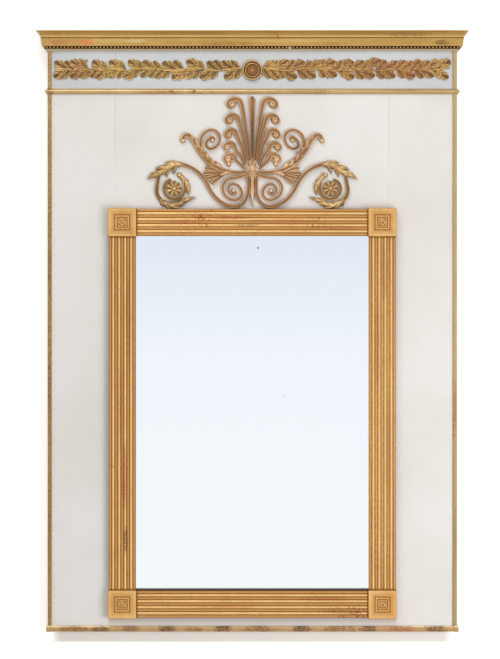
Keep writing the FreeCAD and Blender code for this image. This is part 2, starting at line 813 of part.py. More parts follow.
def band(points, heading, wide, deep, step=0.5):
    """A carved band: a ridge-backed strip that follows a chain of arcs, in chisel-cut facets."""
    rings = []
    for u, v, way in arc_walk(points, math.radians(heading), step):
        out_u, out_v = -math.sin(way) * wide / 2, math.cos(way) * wide / 2
        rings.append([spot(u + out_u, v + out_v), spot(u, v, deep), spot(u - out_u, v - out_v)])
    return [ringed_solid(rings)]


def flake(outline, middle, deep, shrink=0.3):
    """A carved leaf: its outline on the face, narrowing to a small ridge in front."""
    low = [spot(u, v) for u, v in outline]
    ridge = [spot(middle[0] + (u - middle[0]) * shrink, middle[1] + (v - middle[1]) * shrink, deep)
             for u, v in outline]
    return ringed_solid([low, ridge])


def turned(shape_points, u, v, angle, long, wide):
    """Points given along a leaf's length (0 to 1) and across it, set at (u, v) at an angle."""
    c, d = math.cos(math.radians(angle)), math.sin(math.radians(angle))
    return [(u + long * a * c - wide * b * d, v + long * a * d + wide * b * c) for a, b in shape_points]


def petal(u, v, angle, long, wide, deep):
    """A pointed leaf that springs from (u, v)."""
    half = [(0.0, 0.12), (0.35, 0.5), (0.75, 0.36)]
    shape = half + [(1.0, 0.0)] + [(a, -b) for a, b in reversed(half)]
    outline = turned(shape, u, v, angle, long, wide)
    return flake(outline, turned([(0.45, 0)], u, v, angle, long, wide)[0], deep)


def lobed_leaf(u, v, angle, long, wide, deep):
    """A leaf with two lobes on each side and one at its tip."""
    half = [(0.0, 0.07), (0.2, 0.42), (0.38, 0.22), (0.58, 0.5), (0.78, 0.2)]
    shape = half + [(1.0, 0.0)] + [(a, -b) for a, b in reversed(half)]
    outline = turned(shape, u, v, angle, long, wide)
    return flake(outline, turned([(0.5, 0)], u, v, angle, long, wide)[0], deep)


def ball(u, v, radius, deep):
    """A round bud."""
    return faceted_dome(spot(u, v), 8, [(radius, 0), (radius * 0.55, deep)])


def ornament(label, whole, up, mirrored=False):
    """Set one piece of ornament on the face, mirrored for the left side."""
    if mirrored:
        whole = whole.mirror(V(0, 0, 0), V(1, 0, 0))
    piece = DOC.addObject("Part::Feature", label)
    piece.Label = label
    piece.Shape = whole
    return keep(place(piece, y=-PANEL, z=up))


def fused(shapes):
    return shapes[0].fuse(shapes[1:]).removeSplitter()


def garland(side):
    """Lobed leaves in pairs along a stem that waves from the patera to the frieze's end."""
    near, far = float(D.garland_near), float(HALF - D.edge_wide - D.garland_clear)
    pitch, wave = float(D.garland_pitch), float(D.garland_wave)
    long, wide, deep = float(D.leaf_long), float(D.leaf_wide), float(D.leaf_thick)
    stem = float(D.garland_stem)
    leaf_reach = long * 1.1
    count = round((far - near - leaf_reach) / pitch)
    step = (far - near - leaf_reach) / count
    line = [(near + k * step / 2, wave * (1, 0, -1, 0)[k % 4]) for k in range(2 * count + 1)]
    shapes = band(line, 0, stem, stem)
    for k, (u, v) in enumerate(line[::2]):
        lean = 1 if k % 2 else -1
        shapes.append(lobed_leaf(u - long * 0.07, v, 32 + 5 * lean, long, wide, deep))
        shapes.append(lobed_leaf(u + long * 0.2, v, -32 + 5 * lean, long, wide, deep))
    name = "right" if side > 0 else "left"
    ornament(f"{name}_garland", fused(shapes), D.case_tall - D.garland_drop, mirrored=side < 0)


def patera():
    """The round boss in the middle of the frieze: rim, dish and a ring of petals."""
    outer, thick = float(D.patera_round) / 2, float(D.patera_thick)
    dish = thick * 0.4
    profile = [(outer, 0), (outer, thick * 0.7), (outer * 0.86, thick), (outer * 0.72, dish),
               (outer * 0.3, dish), (outer * 0.16, thick)]
    shapes = [faceted_dome(spot(0, 0), 16, profile)]
    root, reach = outer * 0.12, outer * 0.56
    for k in range(8):
        t = math.radians(45 * k)
        shapes.append(petal(root * math.cos(t), root * math.sin(t), 45 * k, reach, reach * 0.62, thick * 0.8))
    ornament("patera", fused(shapes), D.case_tall - D.patera_drop)


# The crest is drawn in millimetres from its boss and scaled to its room over the frame
CREST_DRAWN_UP, CREST_DRAWN_DOWN = 205.5, 110.9
CREST_ROOM = MID_RAIL_LOW - FRAME_TOP - D.crest_low_gap - D.crest_high_gap
CREST_SCALE = CREST_ROOM / (CREST_DRAWN_UP + CREST_DRAWN_DOWN)
CREST_UP = FRAME_TOP + D.crest_low_gap + CREST_SCALE * CREST_DRAWN_DOWN
CREST_DEEP = float(D.crest_thick / CREST_SCALE)
CREST_BAND = float(D.band_wide / CREST_SCALE)
CREST_SHAPES = {}                                           # as drawn, for their neighbours to butt on


def crest_piece(label, shapes, side=1, beside=()):
    """Fuse one piece of the crest, trim it to the pieces it butts on, scale it and set it up."""
    whole = fused(shapes)
    if beside:
        whole = whole.cut([CREST_SHAPES[neighbour] for neighbour in beside])
    CREST_SHAPES[label] = whole
    ornament(label, whole.scaled(float(CREST_SCALE)), CREST_UP, mirrored=side < 0)


# Each frond: its bud (u, v, radius), the top of its arch, and its stem from there down to its foot
FRONDS = (
    ((58.5, 183.3, 12.0), (47, 197), [(30, 183), (22, 140), (13, 80), (9, 28)]),
    ((64.2, 138.3, 10.5), (54, 151), [(38, 138), (30, 108), (20, 65), (15, 28)]),
    ((67.0, 96.7, 9.0), (58, 109), [(44, 98), (35, 75), (25, 45), (18, 16)]),
    ((71.5, 61.9, 8.5), (62, 71), [(50, 63), (39, 44), (23, 10)]),
    ((69.5, 30.0, 10.5), (59, 40), [(50, 33), (42, 20), (22, 1)]),
)


def crest_fan(side):
    """Five stems in a sheaf that each curl out into a bud."""
    deep, wide = CREST_DEEP, CREST_BAND
    shapes = []
    for k, ((u, v, radius), top, stem) in enumerate(FRONDS):
        rise = deep * (0.85 - 0.06 * k)
        shapes += band([top] + stem, 180, wide, rise)
        shapes += band([top, (u, v + radius * 0.3)], 0, wide, rise)
        shapes.append(ball(u, v, radius, deep * 0.9))
    shapes.append(ball(68, 15, 7.5, deep * 0.8))
    name = "right" if side > 0 else "left"
    crest_piece(f"{name}_crest_fan", shapes, side, ["crest_centre"])


def crest_scroll(side):
    """The acanthus arm and its volute above, the husk, and the big S-scroll with its volute below."""
    deep, wide = CREST_DEEP * 0.8, CREST_BAND
    thin = wide * 0.72
    arm_top, upper_top, lower_top, keel = (178, 92), (119, 109.5), (58, -27), (56, -107.5)
    shapes = band([arm_top, (166, 87), (146, 50), (127, 21), (81, 0), (14, -10)], 180, wide * 1.2, deep)
    shapes += band([arm_top, (195, 82)], 0, wide, deep)
    shapes += band([upper_top, (146, 82), (143, 48), (133, 26)], 0, thin, deep * 0.8)
    shapes += band([upper_top, (92, 83), (112, 57.5), (130, 76), (117, 89.5), (110, 80)], 180, thin, deep * 0.8)
    shapes += band([lower_top, (84, -57), (53, -89), (30, -66), (50, -43.5), (68, -60), (54, -73), (47, -65)],
                   0, thin, deep * 0.8)
    shapes += band([lower_top, (31, -22), (10, -14)], 180, thin, deep * 0.8)
    shapes += band([keel, (20, -90), (11, -60), (13, -20)], 180, wide, deep)
    shapes += band([keel, (97, -88), (124, -51), (141, -23), (205, 13)], 0, wide, deep)
    shapes += [ball(114, 80, 6, deep), ball(53, -62, 8, deep), ball(195, 79, 6.5, deep * 0.9)]
    shapes += [petal(80, -16, angle, long, 16, deep * 0.9)
               for angle, long in ((24, 54), (4, 58), (-16, 54), (-38, 46))]
    shapes += [petal(u, v, angle, 26, 13, deep * 0.85)
               for u, v, angle in ((60, -4, 40), (88, 2, 48), (112, 12, 55), (132, 26, 100), (146, 50, 8))]
    name = "right" if side > 0 else "left"
    crest_piece(f"{name}_crest_scroll", shapes, side, ["crest_centre", f"{name}_crest_fan"])


def crest_rinceau(side):
    """The outer end: a leafy arc that rolls round a rosette."""
    deep, wide = CREST_DEEP * 0.8, CREST_BAND
    heart_u, heart_v, ring = 221.4, -56.0, 29
    keel, top = (222, -105), (205, 13)
    inner = [(heart_u + ring * math.cos(math.radians(t)), heart_v + ring * math.sin(math.radians(t)))
             for t in (110, 200, 290, 380)]
    shapes = band([top, (240, 4), (268, -14), (297, -29)], 0, wide * 1.2, deep)
    shapes += band([keel, (258, -90), (271, -55), (264, -12)], 0, wide * 0.8, deep * 0.85)
    shapes += band([keel, (190, -99), (165, -83)], 180, wide * 1.3, deep * 0.85)
    shapes += band([(inner[0][0] - 4, inner[0][1] + 10)] + inner[1:], 215, wide * 0.8, deep * 0.8)
    shapes += [ball(heart_u, heart_v, 9, deep * 1.1), ball(250, -99, 9, deep), ball(207, -20, 7, deep)]
    shapes += [petal(heart_u, heart_v, t, 31, 15, deep * 0.8) for t in range(30, 390, 60)]
    shapes += [petal(u, v, angle, long, wide_here, deep * 0.9)
               for u, v, angle, long, wide_here in (
                   (212, 8, 32, 34, 16), (234, 2, 12, 32, 16), (256, -8, -4, 30, 15), (209, 8, -100, 26, 14),
                   (208, -16, 245, 58, 17), (225, -104, 162, 62, 20), (262, -84, 20, 14, 12))]
    name = "right" if side > 0 else "left"
    crest_piece(f"{name}_crest_rinceau", shapes, side, [f"{name}_crest_scroll"])


def crest_centre():
    """The club between the fans, the oval boss at its foot and the pendant bud."""
    deep = CREST_DEEP
    club = [(-5, 12), (5, 12), (5, 86), (6.6, 151), (10, 190), (7, 201), (0, 205.5), (-7, 201), (-10, 190),
            (-6.6, 151), (-5, 86)]
    bud = [(0, -14), (8, -26), (5, -36), (8, -58), (6, -84), (0, -106), (-6, -84), (-8, -58), (-5, -36),
           (-8, -26)]
    shapes = [
        flake(club, (0, 130), deep * 0.9, 0.55),
        flake(bud, (0, -56), deep * 0.8, 0.4),
        ball(0, 0, 17, deep),
        petal(0, 4, 90, 34, 30, deep * 0.8),
        petal(0, -4, 270, 34, 34, deep * 0.8),
    ]
    crest_piece("crest_centre", shapes)


def build_ornament():
    patera()
    crest_centre()
    for side in (-1, 1):
        garland(side)
        crest_fan(side)
        crest_scroll(side)
        crest_rinceau(side)


build_ornament()

# ---------------------------------------------------------------------------------------------
# Check and write
# ---------------------------------------------------------------------------------------------


def write_parts():
    DOC.recompute()
    failed = [item.Name for item in DOC.Objects if {"Invalid", "Error"} & set(item.State)]
    if failed:
        raise RuntimeError(f"failed to rebuild: {failed}")
    os.makedirs("parts", exist_ok=True)
    for piece in PARTS:
        if piece.Shape.isNull() or not piece.Shape.isValid() or not piece.Shape.Solids:
            raise RuntimeError(f"{piece.Label} has no sound solid")
        piece.Shape.exportStep(f"parts/{piece.Label}.step")
    print(len(PARTS), "pieces written")


write_parts()
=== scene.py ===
# %% [markdown]
# # A gilt and painted trumeau mirror
# A trumeau is a wall mirror set in a tall painted panel, made to stand over a mantelpiece. The solids
# of its case, mouldings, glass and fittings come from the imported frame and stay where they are. This
# script dresses them: it carves the ornament, runs the reeds, gilds, paints and lights the whole.

import bpy
import bmesh
from math import atan2, ceil, cos, exp, hypot, pi, radians, sin, sqrt
import random
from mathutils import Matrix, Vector


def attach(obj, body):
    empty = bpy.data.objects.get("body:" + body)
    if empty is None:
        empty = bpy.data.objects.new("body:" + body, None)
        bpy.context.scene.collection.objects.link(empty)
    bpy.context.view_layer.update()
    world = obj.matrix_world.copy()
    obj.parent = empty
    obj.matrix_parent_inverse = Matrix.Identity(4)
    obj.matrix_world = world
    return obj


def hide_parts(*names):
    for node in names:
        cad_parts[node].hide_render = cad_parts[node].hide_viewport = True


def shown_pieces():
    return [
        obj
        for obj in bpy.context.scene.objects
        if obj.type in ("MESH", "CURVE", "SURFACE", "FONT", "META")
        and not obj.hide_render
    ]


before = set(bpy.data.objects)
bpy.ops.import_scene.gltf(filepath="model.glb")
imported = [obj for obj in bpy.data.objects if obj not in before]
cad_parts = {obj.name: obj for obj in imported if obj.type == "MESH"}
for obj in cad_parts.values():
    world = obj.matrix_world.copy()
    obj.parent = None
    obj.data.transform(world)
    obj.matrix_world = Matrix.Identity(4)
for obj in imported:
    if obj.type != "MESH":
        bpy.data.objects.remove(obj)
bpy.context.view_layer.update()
MM = 0.001                      # the scene is in metres, the joiner's sizes are in millimetres
FACE = 45.0                     # the painted face stands this far in front of the wall
print("nodes loaded:", len(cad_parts))

# %% [markdown]
# ## Camera and light
# The view is square on, level with the middle of the case. Its distance of five metres is a guess,
# since a front view of so flat an object hardly shows it; a long lens keeps the case's sides
# parallel. The lamps are set to look right, not measured: a broad softbox low at the right lights the
# front most, one overhead models the carving, and one behind is for views of the back.

# %% Camera
LENS = 96.3                     # mm, on a 36 mm wide sensor
EYE = (-0.0065, -5.045, 0.856)  # metres


def linked(name, data):
    """A new object in the scene."""
    made = bpy.data.objects.new(name, data)
    bpy.context.scene.collection.objects.link(made)
    return made


camera_data = bpy.data.cameras.new("studio_camera")
camera_data.sensor_width = 36.0
camera_data.lens = LENS
camera = linked("studio_camera", camera_data)
camera.location = EYE
camera.rotation_euler = (radians(90), 0, 0)
bpy.context.scene.camera = camera
bpy.context.scene.view_settings.view_transform = "Standard"
print("lens:", camera_data.lens)


# %% Lamps
def soft_lamp(name, place, aim, size, power, tint, mirrored=True):
    """A square softbox turned to face a point; mirrored says if it shows in reflections."""
    lamp = bpy.data.lights.new(name, "AREA")
    lamp.size = size
    lamp.energy = power
    lamp.color = tint
    holder = linked(name, lamp)
    holder.location = place
    holder.rotation_euler = (Vector(aim) - Vector(place)).to_track_quat("-Z", "Y").to_euler()
    holder.visible_glossy = mirrored
    print(name, power, "W")


soft_lamp("overhead_softbox", (-0.5, -1.6, 3.3), (0, 0, 0.6), 1.1, 23, (1.0, 0.985, 0.96))
soft_lamp("right_softbox", (2.2, -3.0, 0.0), (0.3, 0, 0.5), 2.0, 74, (1.0, 1.0, 1.0), mirrored=False)
soft_lamp("back_softbox", (-1.8, 3.0, 2.4), (0, 0, 0.9), 2.0, 30, (1.0, 1.0, 1.0))

# %% [markdown]
# ## Nodes in short
# A material is a small network. Short helpers keep each network readable: add makes a node, plug
# gives its sockets a value or a link, and chart turns a colour as a paint chart gives it, from 0 to
# 255, into the linear light that the shader works with.


# %% Node helpers
def chart(red, green, blue):
    """A paint chart colour as linear light."""
    def linear(value):
        value /= 255
        return value / 12.92 if value <= 0.04045 else ((value + 0.055) / 1.055) ** 2.4
    return (linear(red), linear(green), linear(blue), 1.0)


def plug(tree, node, values):
    """Give a node's sockets their values, or a link where the value is itself a socket."""
    for key, value in values.items():
        if isinstance(value, bpy.types.NodeSocket):
            tree.links.new(value, node.inputs[key])
        else:
            node.inputs[key].default_value = value


def add(tree, kind, values=None, **settings):
    """A new node, its settings and what its sockets get."""
    made = tree.nodes.new("ShaderNode" + kind)
    for key, value in settings.items():
        setattr(made, key, value)
    plug(tree, made, values or {})
    return made


def blend(tree, share, first, second):
    """Mix two colours by a share."""
    return add(tree, "Mix", {0: share, 6: first, 7: second}, data_type="RGBA").outputs[2]


def sums(tree, operation, *values):
    """One sum on values."""
    return add(tree, "Math", dict(enumerate(values)), operation=operation).outputs[0]


def product(tree, first, second):
    """Two values multiplied."""
    return sums(tree, "MULTIPLY", first, second)


def rest_of(tree, value):
    """What is left of 1."""
    return sums(tree, "SUBTRACT", 1.0, value)


def rise_between(tree, value, low, high):
    """0 below low, 1 above high, with a soft step between."""
    return add(tree, "MapRange", {"Value": value, "From Min": low, "From Max": high},
               interpolation_type="SMOOTHSTEP").outputs["Result"]


def noise(tree, vector, scale, detail, rough=0.5):
    """Cloudy noise, 0 to 1."""
    return add(tree, "TexNoise", {"Vector": vector, "Scale": scale, "Detail": detail,
                                  "Roughness": rough}).outputs["Fac"]


def stretched(tree, vector, scale):
    """The same places with each axis stretched."""
    return add(tree, "Mapping", {"Vector": vector, "Scale": scale}).outputs["Vector"]


def parts_of(tree, vector):
    """A vector's X, Y and Z."""
    return add(tree, "SeparateXYZ", {"Vector": vector}).outputs


def bumped(tree, shader, height, strength, distance):
    """Raise the shader's surface by a height, at a strength and a distance in metres."""
    bump = add(tree, "Bump", {"Height": height, "Strength": strength, "Distance": distance})
    plug(tree, shader, {"Normal": bump.outputs["Normal"]})


def use_group(tree, group, values):
    """A node that uses a group, and what its sockets get."""
    made = tree.nodes.new("ShaderNodeGroup")
    made.node_tree = group
    plug(tree, made, values)
    return made


def new_group(name, inputs, outputs):
    """An empty shader group with named sockets; inputs are (name, kind, value)."""
    group = bpy.data.node_groups.new(name, "ShaderNodeTree")
    for label, kind, value in inputs:
        socket = group.interface.new_socket(label, in_out="INPUT", socket_type="NodeSocket" + kind)
        if value is not None:
            socket.default_value = value
    for label, kind in outputs:
        group.interface.new_socket(label, in_out="OUTPUT", socket_type="NodeSocket" + kind)
    return group, group.nodes.new("NodeGroupInput"), group.nodes.new("NodeGroupOutput")


def new_material(name, metallic=0.0, roughness=0.5):
    """A material with its Principled shader, and a node that gives places on the object."""
    material = bpy.data.materials.new(name)
    material.use_nodes = True
    tree = material.node_tree
    shader = tree.nodes["Principled BSDF"]
    plug(tree, shader, {"Metallic": metallic, "Roughness": roughness})
    return material, tree, shader, add(tree, "TexCoord").outputs["Object"]


print("node helpers ready")

# %% [markdown]
# ## Rubbed gilding
# Gold leaf lies on a red clay called bole. Long dusting rubs the leaf off high places, so red and
# brown show there. Low places are darkened, for dirt and for painted shade, and high places are
# paled as a painted highlight. The carving below stores how proud each point stands in an attribute,
# so one group can darken hollows and pale and rub crests on every gilt piece.


# %% The gilding group
def make_gilding_group():
    """Leaf with a painted highlight where it stands proud, rubbed through to bole, and dirt with painted
    shade where it is low.
    """
    group, given, result = new_group(
        "rubbed_gilding",
        [("Vector", "Vector", None), ("Proud", "Float", 0.7), ("Gold", "Color", chart(214, 168, 106)),
         ("Pale", "Color", chart(240, 207, 150)), ("Bole", "Color", chart(158, 78, 48)),
         ("Dirt and Shade", "Color", chart(112, 72, 38)), ("Wear", "Float", 0.35), ("Grime and Shade", "Float", 0.7)],
        [("Color", "Color"), ("Roughness", "Float"), ("Height", "Float")])
    where = given.outputs["Vector"]
    cloud = noise(group, where, 14, 4, 0.6)
    fleck = noise(group, where, 120, 4, 0.65)
    streak = noise(group, where, 5, 5, 0.7)
    proud = given.outputs["Proud"]
    # The pale on proud places is a painted highlight.
    high = rise_between(group, sums(group, "MULTIPLY_ADD", cloud, 0.5, proud), 0.85, 1.35)
    leaf = blend(group, high, given.outputs["Gold"], given.outputs["Pale"])
    rubbed_at = sums(group, "MULTIPLY_ADD", streak, 0.55, product(group, fleck, 0.45))
    limit = sums(group, "SUBTRACT", 0.76, product(group, given.outputs["Wear"], 0.4))
    over = sums(group, "SUBTRACT", rubbed_at, limit)
    rubbed = rise_between(group, over, 0.0, 0.08)
    worn = blend(group, rubbed, leaf, given.outputs["Bole"])
    # Low places darken with dirt and with painted shade.
    sunk = sums(group, "MULTIPLY_ADD", fleck, 0.3, sums(group, "SUBTRACT", proud, 0.15))
    low = rest_of(group, rise_between(group, sunk, 0.05, 0.75))
    dirt_and_shade_share = product(group, low, given.outputs["Grime and Shade"])
    soiled_and_shaded = blend(group, dirt_and_shade_share, worn, given.outputs["Dirt and Shade"])
    rough = sums(group, "MULTIPLY_ADD", rubbed, 0.2, sums(group, "MULTIPLY_ADD", dirt_and_shade_share, 0.25, 0.36))
    relief = sums(group, "SUBTRACT", product(group, fleck, 0.5), product(group, rubbed, 0.4))
    plug(group, result, {"Color": soiled_and_shaded, "Roughness": rough, "Height": relief})
    return group


GILDING = make_gilding_group()
print("gilding group nodes:", len(GILDING.nodes))


# %% Bare backs
def bare_back(tree, where, colour):
    """Show bare wood on the faces that look to the rear; gives the colour and where the wood is."""
    rear = rise_between(tree, parts_of(tree, add(tree, "TexCoord").outputs["Normal"])["Y"], 0.6, 0.9)
    grain = noise(tree, stretched(tree, where, (1.0, 1.0, 0.05)), 60, 5, 0.65)
    wood = blend(tree, rise_between(tree, grain, 0.4, 0.75), chart(170, 132, 92), chart(118, 86, 56))
    return blend(tree, rear, colour, wood), rear


# %% Stains
def stained(tree, where, colour, stains):
    """Blend soft-edged patches into a colour."""
    ragged = sums(tree, "SUBTRACT", noise(tree, where, 90, 6, 0.8), 0.5)
    flecks = rise_between(tree, noise(tree, where, 240, 3, 0.7), 0.3, 0.62)
    for x, up, wide, tall, tone, share in stains:
        spot = add(tree, "Mapping", {"Vector": where, "Scale": (1 / (wide * MM), 0, 1 / (tall * MM)),
                                     "Location": (-x / wide, 0, -up / tall)})
        far = add(tree, "VectorMath", {0: spot.outputs["Vector"]}, operation="LENGTH")
        edge = sums(tree, "MULTIPLY_ADD", ragged, 1.8, far.outputs["Value"])
        inside = product(tree, rest_of(tree, rise_between(tree, edge, 0.5, 1.1)), flecks)
        colour = blend(tree, product(tree, inside, share), colour, chart(*tone))
    return colour


# %% Gilt materials
def gilt(name, gold, pale, bole, dirt_and_shade, wear, grime_and_shade, metallic=0.55, proud=None, stains=()):
    """Gilding in paint chart colours. proud, if given, makes that socket from the tree and places."""
    material, tree, shader, where = new_material(name, metallic)
    high = proud(tree, where) if proud else add(tree, "Attribute", attribute_name="proud").outputs["Fac"]
    leaf = use_group(tree, GILDING, {
        "Vector": where, "Proud": high, "Gold": chart(*gold), "Pale": chart(*pale), "Bole": chart(*bole),
        "Dirt and Shade": chart(*dirt_and_shade), "Wear": wear, "Grime and Shade": grime_and_shade})
    colour, rear = bare_back(tree, where, stained(tree, where, leaf.outputs["Color"], stains))
    plug(tree, shader, {"Base Color": colour, "Roughness": leaf.outputs["Roughness"],
                        "Metallic": sums(tree, "MULTIPLY_ADD", rear, -metallic, metallic)})
    bumped(tree, shader, leaf.outputs["Height"], 0.25, 0.0006)
    return material


def height_steps(bands):
    """Makes a proud socket that depends on the height above the floor: (height mm, proud) pairs."""
    def build(tree, where):
        low, high = bands[0][0], bands[-1][0]
        share = add(tree, "MapRange", {"Value": parts_of(tree, where)["Z"], "From Min": low * MM,
                                       "From Max": high * MM})
        ramp = add(tree, "ValToRGB", {"Fac": share.outputs["Result"]})
        stops = ramp.color_ramp.elements
        while len(stops) < len(bands):
            stops.new(0.5)
        for stop, (height, proud) in zip(stops, bands):
            stop.position = (height - low) / (high - low)
            stop.color = (proud, proud, proud, 1)
        return ramp.outputs["Color"]
    return build


# Patches of wear: (x mm, height mm, half width, half height, tone, share)
RED_BOLE, BROWN, CORAL, UMBER = (170, 84, 56), (136, 88, 44), (226, 120, 84), (92, 54, 26)
RAIL_STAINS = (
    # The first patch pales the whole right stile.
    (367, 640, 46, 520, (238, 190, 122), 0.45), (-362, 440, 10, 120, RED_BOLE, 0.75),
    (-358, 262, 7, 45, UMBER, 0.85), (-372, 640, 8, 170, RED_BOLE, 0.45),
    (-350, 900, 9, 150, BROWN, 0.45), (352, 820, 9, 160, RED_BOLE, 0.5),
    (384, 520, 8, 200, BROWN, 0.4), (372, 1010, 12, 90, RED_BOLE, 0.3),
    (-60, 1172, 60, 6, RED_BOLE, 0.8), (-20, 1150, 40, 5, UMBER, 0.6),
    (90, 1162, 120, 8, RED_BOLE, 0.45), (-200, 1160, 60, 8, RED_BOLE, 0.5),
    (230, 1144, 80, 7, RED_BOLE, 0.4), (200, 96, 90, 8, RED_BOLE, 0.5),
    (-90, 74, 130, 7, RED_BOLE, 0.45), (250, 60, 60, 9, BROWN, 0.5))
CORNICE_STAINS = (
    (-468, 1668, 27, 9, CORAL, 0.9), (-545, 1668, 30, 8, RED_BOLE, 0.5),
    (-498, 1671, 60, 6, CORAL, 0.3), (530, 1667, 22, 8, BROWN, 0.85), (-60, 1664, 90, 5, BROWN, 0.6),
    (330, 1692, 160, 5, BROWN, 0.45), (-180, 1692, 150, 5, BROWN, 0.5),
    (440, 1690, 70, 7, BROWN, 0.6), (-330, 1672, 40, 6, (236, 212, 160), 0.6),
    (100, 1672, 130, 5, (226, 190, 120), 0.5), (-120, 1666, 160, 9, (166, 116, 56), 0.5),
    (380, 1668, 150, 10, (176, 126, 62), 0.5), (540, 1666, 26, 9, UMBER, 0.55),
    (-400, 1672, 70, 7, (222, 190, 116), 0.6), (220, 1664, 70, 6, (160, 100, 50), 0.6))
CREST_STAINS = (
    (-128, 1352, 34, 44, (176, 136, 66), 0.7), (132, 1356, 30, 40, (150, 100, 56), 0.6),
    (-62, 1440, 22, 90, (164, 122, 70), 0.6), (64, 1430, 22, 100, (170, 126, 66), 0.6),
    (0, 1420, 9, 90, (150, 104, 58), 0.6), (0, 1288, 14, 60, (178, 130, 84), 0.8),
    (-214, 1215, 60, 14, UMBER, 0.6), (262, 1210, 16, 12, UMBER, 0.8),
    (-256, 1300, 50, 20, (160, 122, 60), 0.6), (214, 1318, 50, 16, (150, 102, 56), 0.5),
    (-180, 1330, 30, 10, UMBER, 0.5))
GARLAND_STAINS = (
    (300, 1594, 300, 60, (156, 96, 54), 0.45), (430, 1594, 90, 50, (150, 84, 50), 0.4),
    (-330, 1590, 120, 40, (158, 132, 62), 0.4), (-470, 1594, 60, 40, (150, 92, 56), 0.4))
FOOT_STAINS = (
    (-505, 7, 46, 16, BROWN, 0.9), (-430, 6, 30, 16, UMBER, 0.9), (-345, 8, 26, 14, UMBER, 0.7),
    (-240, 7, 30, 18, UMBER, 1.0), (-165, 5, 28, 12, BROWN, 0.9), (-84, 7, 28, 18, UMBER, 1.0),
    (20, 6, 50, 14, BROWN, 0.9), (140, 7, 30, 18, UMBER, 0.95), (232, 6, 38, 14, BROWN, 0.9),
    (330, 7, 26, 18, UMBER, 0.95), (420, 6, 44, 16, RED_BOLE, 0.8), (520, 7, 34, 18, UMBER, 0.9))
EDGE_STAINS = (
    # The first patch browns the whole left edge strip.
    (-575, 820, 16, 1200, BROWN, 0.85), (-575, 300, 7, 120, BROWN, 0.6),
    (-575, 700, 6, 90, UMBER, 0.5), (-575, 1020, 6, 110, BROWN, 0.6),
    (575, 640, 6, 70, RED_BOLE, 0.7), (575, 260, 6, 110, BROWN, 0.4),
    (-260, 1530, 70, 8, BROWN, 0.5), (150, 1530, 90, 8, BROWN, 0.4), (420, 1533, 60, 5, BROWN, 0.35))
reed_gold = gilt("reed_gold", (210, 152, 82), (242, 200, 132), (166, 88, 50),
                 (112, 64, 30), 0.44, 0.88, stains=RAIL_STAINS)
carved_gold = gilt("carved_gold", (202, 160, 116), (236, 206, 168), (168, 110, 80),
                   (122, 86, 60), 0.4, 0.85, metallic=0.35, stains=CREST_STAINS)
leaf_gold = gilt("leaf_gold", (184, 144, 92), (226, 194, 138), (152, 96, 56),
                 (86, 58, 34), 0.45, 1.0, metallic=0.38, stains=CREST_STAINS)
garland_gold = gilt("garland_gold", (136, 100, 54), (212, 172, 98), (134, 82, 46),
                    (58, 40, 22), 0.45, 1.0, metallic=0.35, stains=GARLAND_STAINS)
patera_gold = gilt("patera_gold", (176, 130, 76), (214, 176, 116), (150, 92, 56),
                   (84, 52, 28), 0.42, 0.95, metallic=0.35)
pearl_gold = gilt("pearl_gold", (186, 126, 66), (248, 204, 128), (110, 40, 24),
                  (34, 12, 7), 0.4, 1.0, metallic=0.4, stains=((106, 1655, 5, 6, (240, 232, 220), 1.0),))
# The cornice's proud by height paints its fillets pale and its quirk dark: painted highlight and painted
# shade along its profile.
cornice_gold = gilt("cornice_gold", (190, 148, 78), (220, 182, 108), (160, 98, 54),
                    (112, 74, 36), 0.48, 0.8, proud=height_steps(
                        [(1646, 0.75), (1651, 0.8), (1652, 0.1), (1657.5, 0.3), (1658.5, 0.75),
                         (1679, 0.7), (1680, 0.35), (1682, 0.4), (1683, 1.0), (1686.5, 1.0),
                         (1688, 0.5), (1700, 0.66)]),
                    stains=CORNICE_STAINS)
bed_gold = gilt("bed_gold", (194, 166, 128), (220, 200, 170), (160, 116, 80),
                (120, 88, 56), 0.45, 0.6, metallic=0.3, proud=height_steps([(0, 0.6), (1700, 0.65)]))
edge_gold = gilt("edge_gold", (192, 158, 106), (220, 192, 140), (152, 94, 56),
                 (112, 74, 40), 0.45, 0.65, proud=height_steps([(0, 0.5), (900, 0.7), (1700, 0.72)]),
                 stains=EDGE_STAINS)
# The foot's proud by height paints its top edge pale over a darker face: a painted highlight.
foot_gold = gilt("foot_gold", (212, 170, 118), (240, 212, 164), (140, 86, 50),
                 (104, 66, 36), 0.42, 0.75, stains=FOOT_STAINS,
                 proud=height_steps([(0, 0.4), (12.0, 0.5), (13.2, 1.0), (20, 1.0)]))
print("gilt materials:", [made.name for made in bpy.data.materials if made.name.endswith("_gold")])

# %% [markdown]
# ## Aged paint
# The panel's paint is a warm grey-white that has yellowed in clouds and cracked in a fine net. It
# splits in a hairline over each board joint. One group makes clouds, brush marks and cracks, and each
# surface gives it its own colours. A brown tone under the frame is there to deepen its shadow.


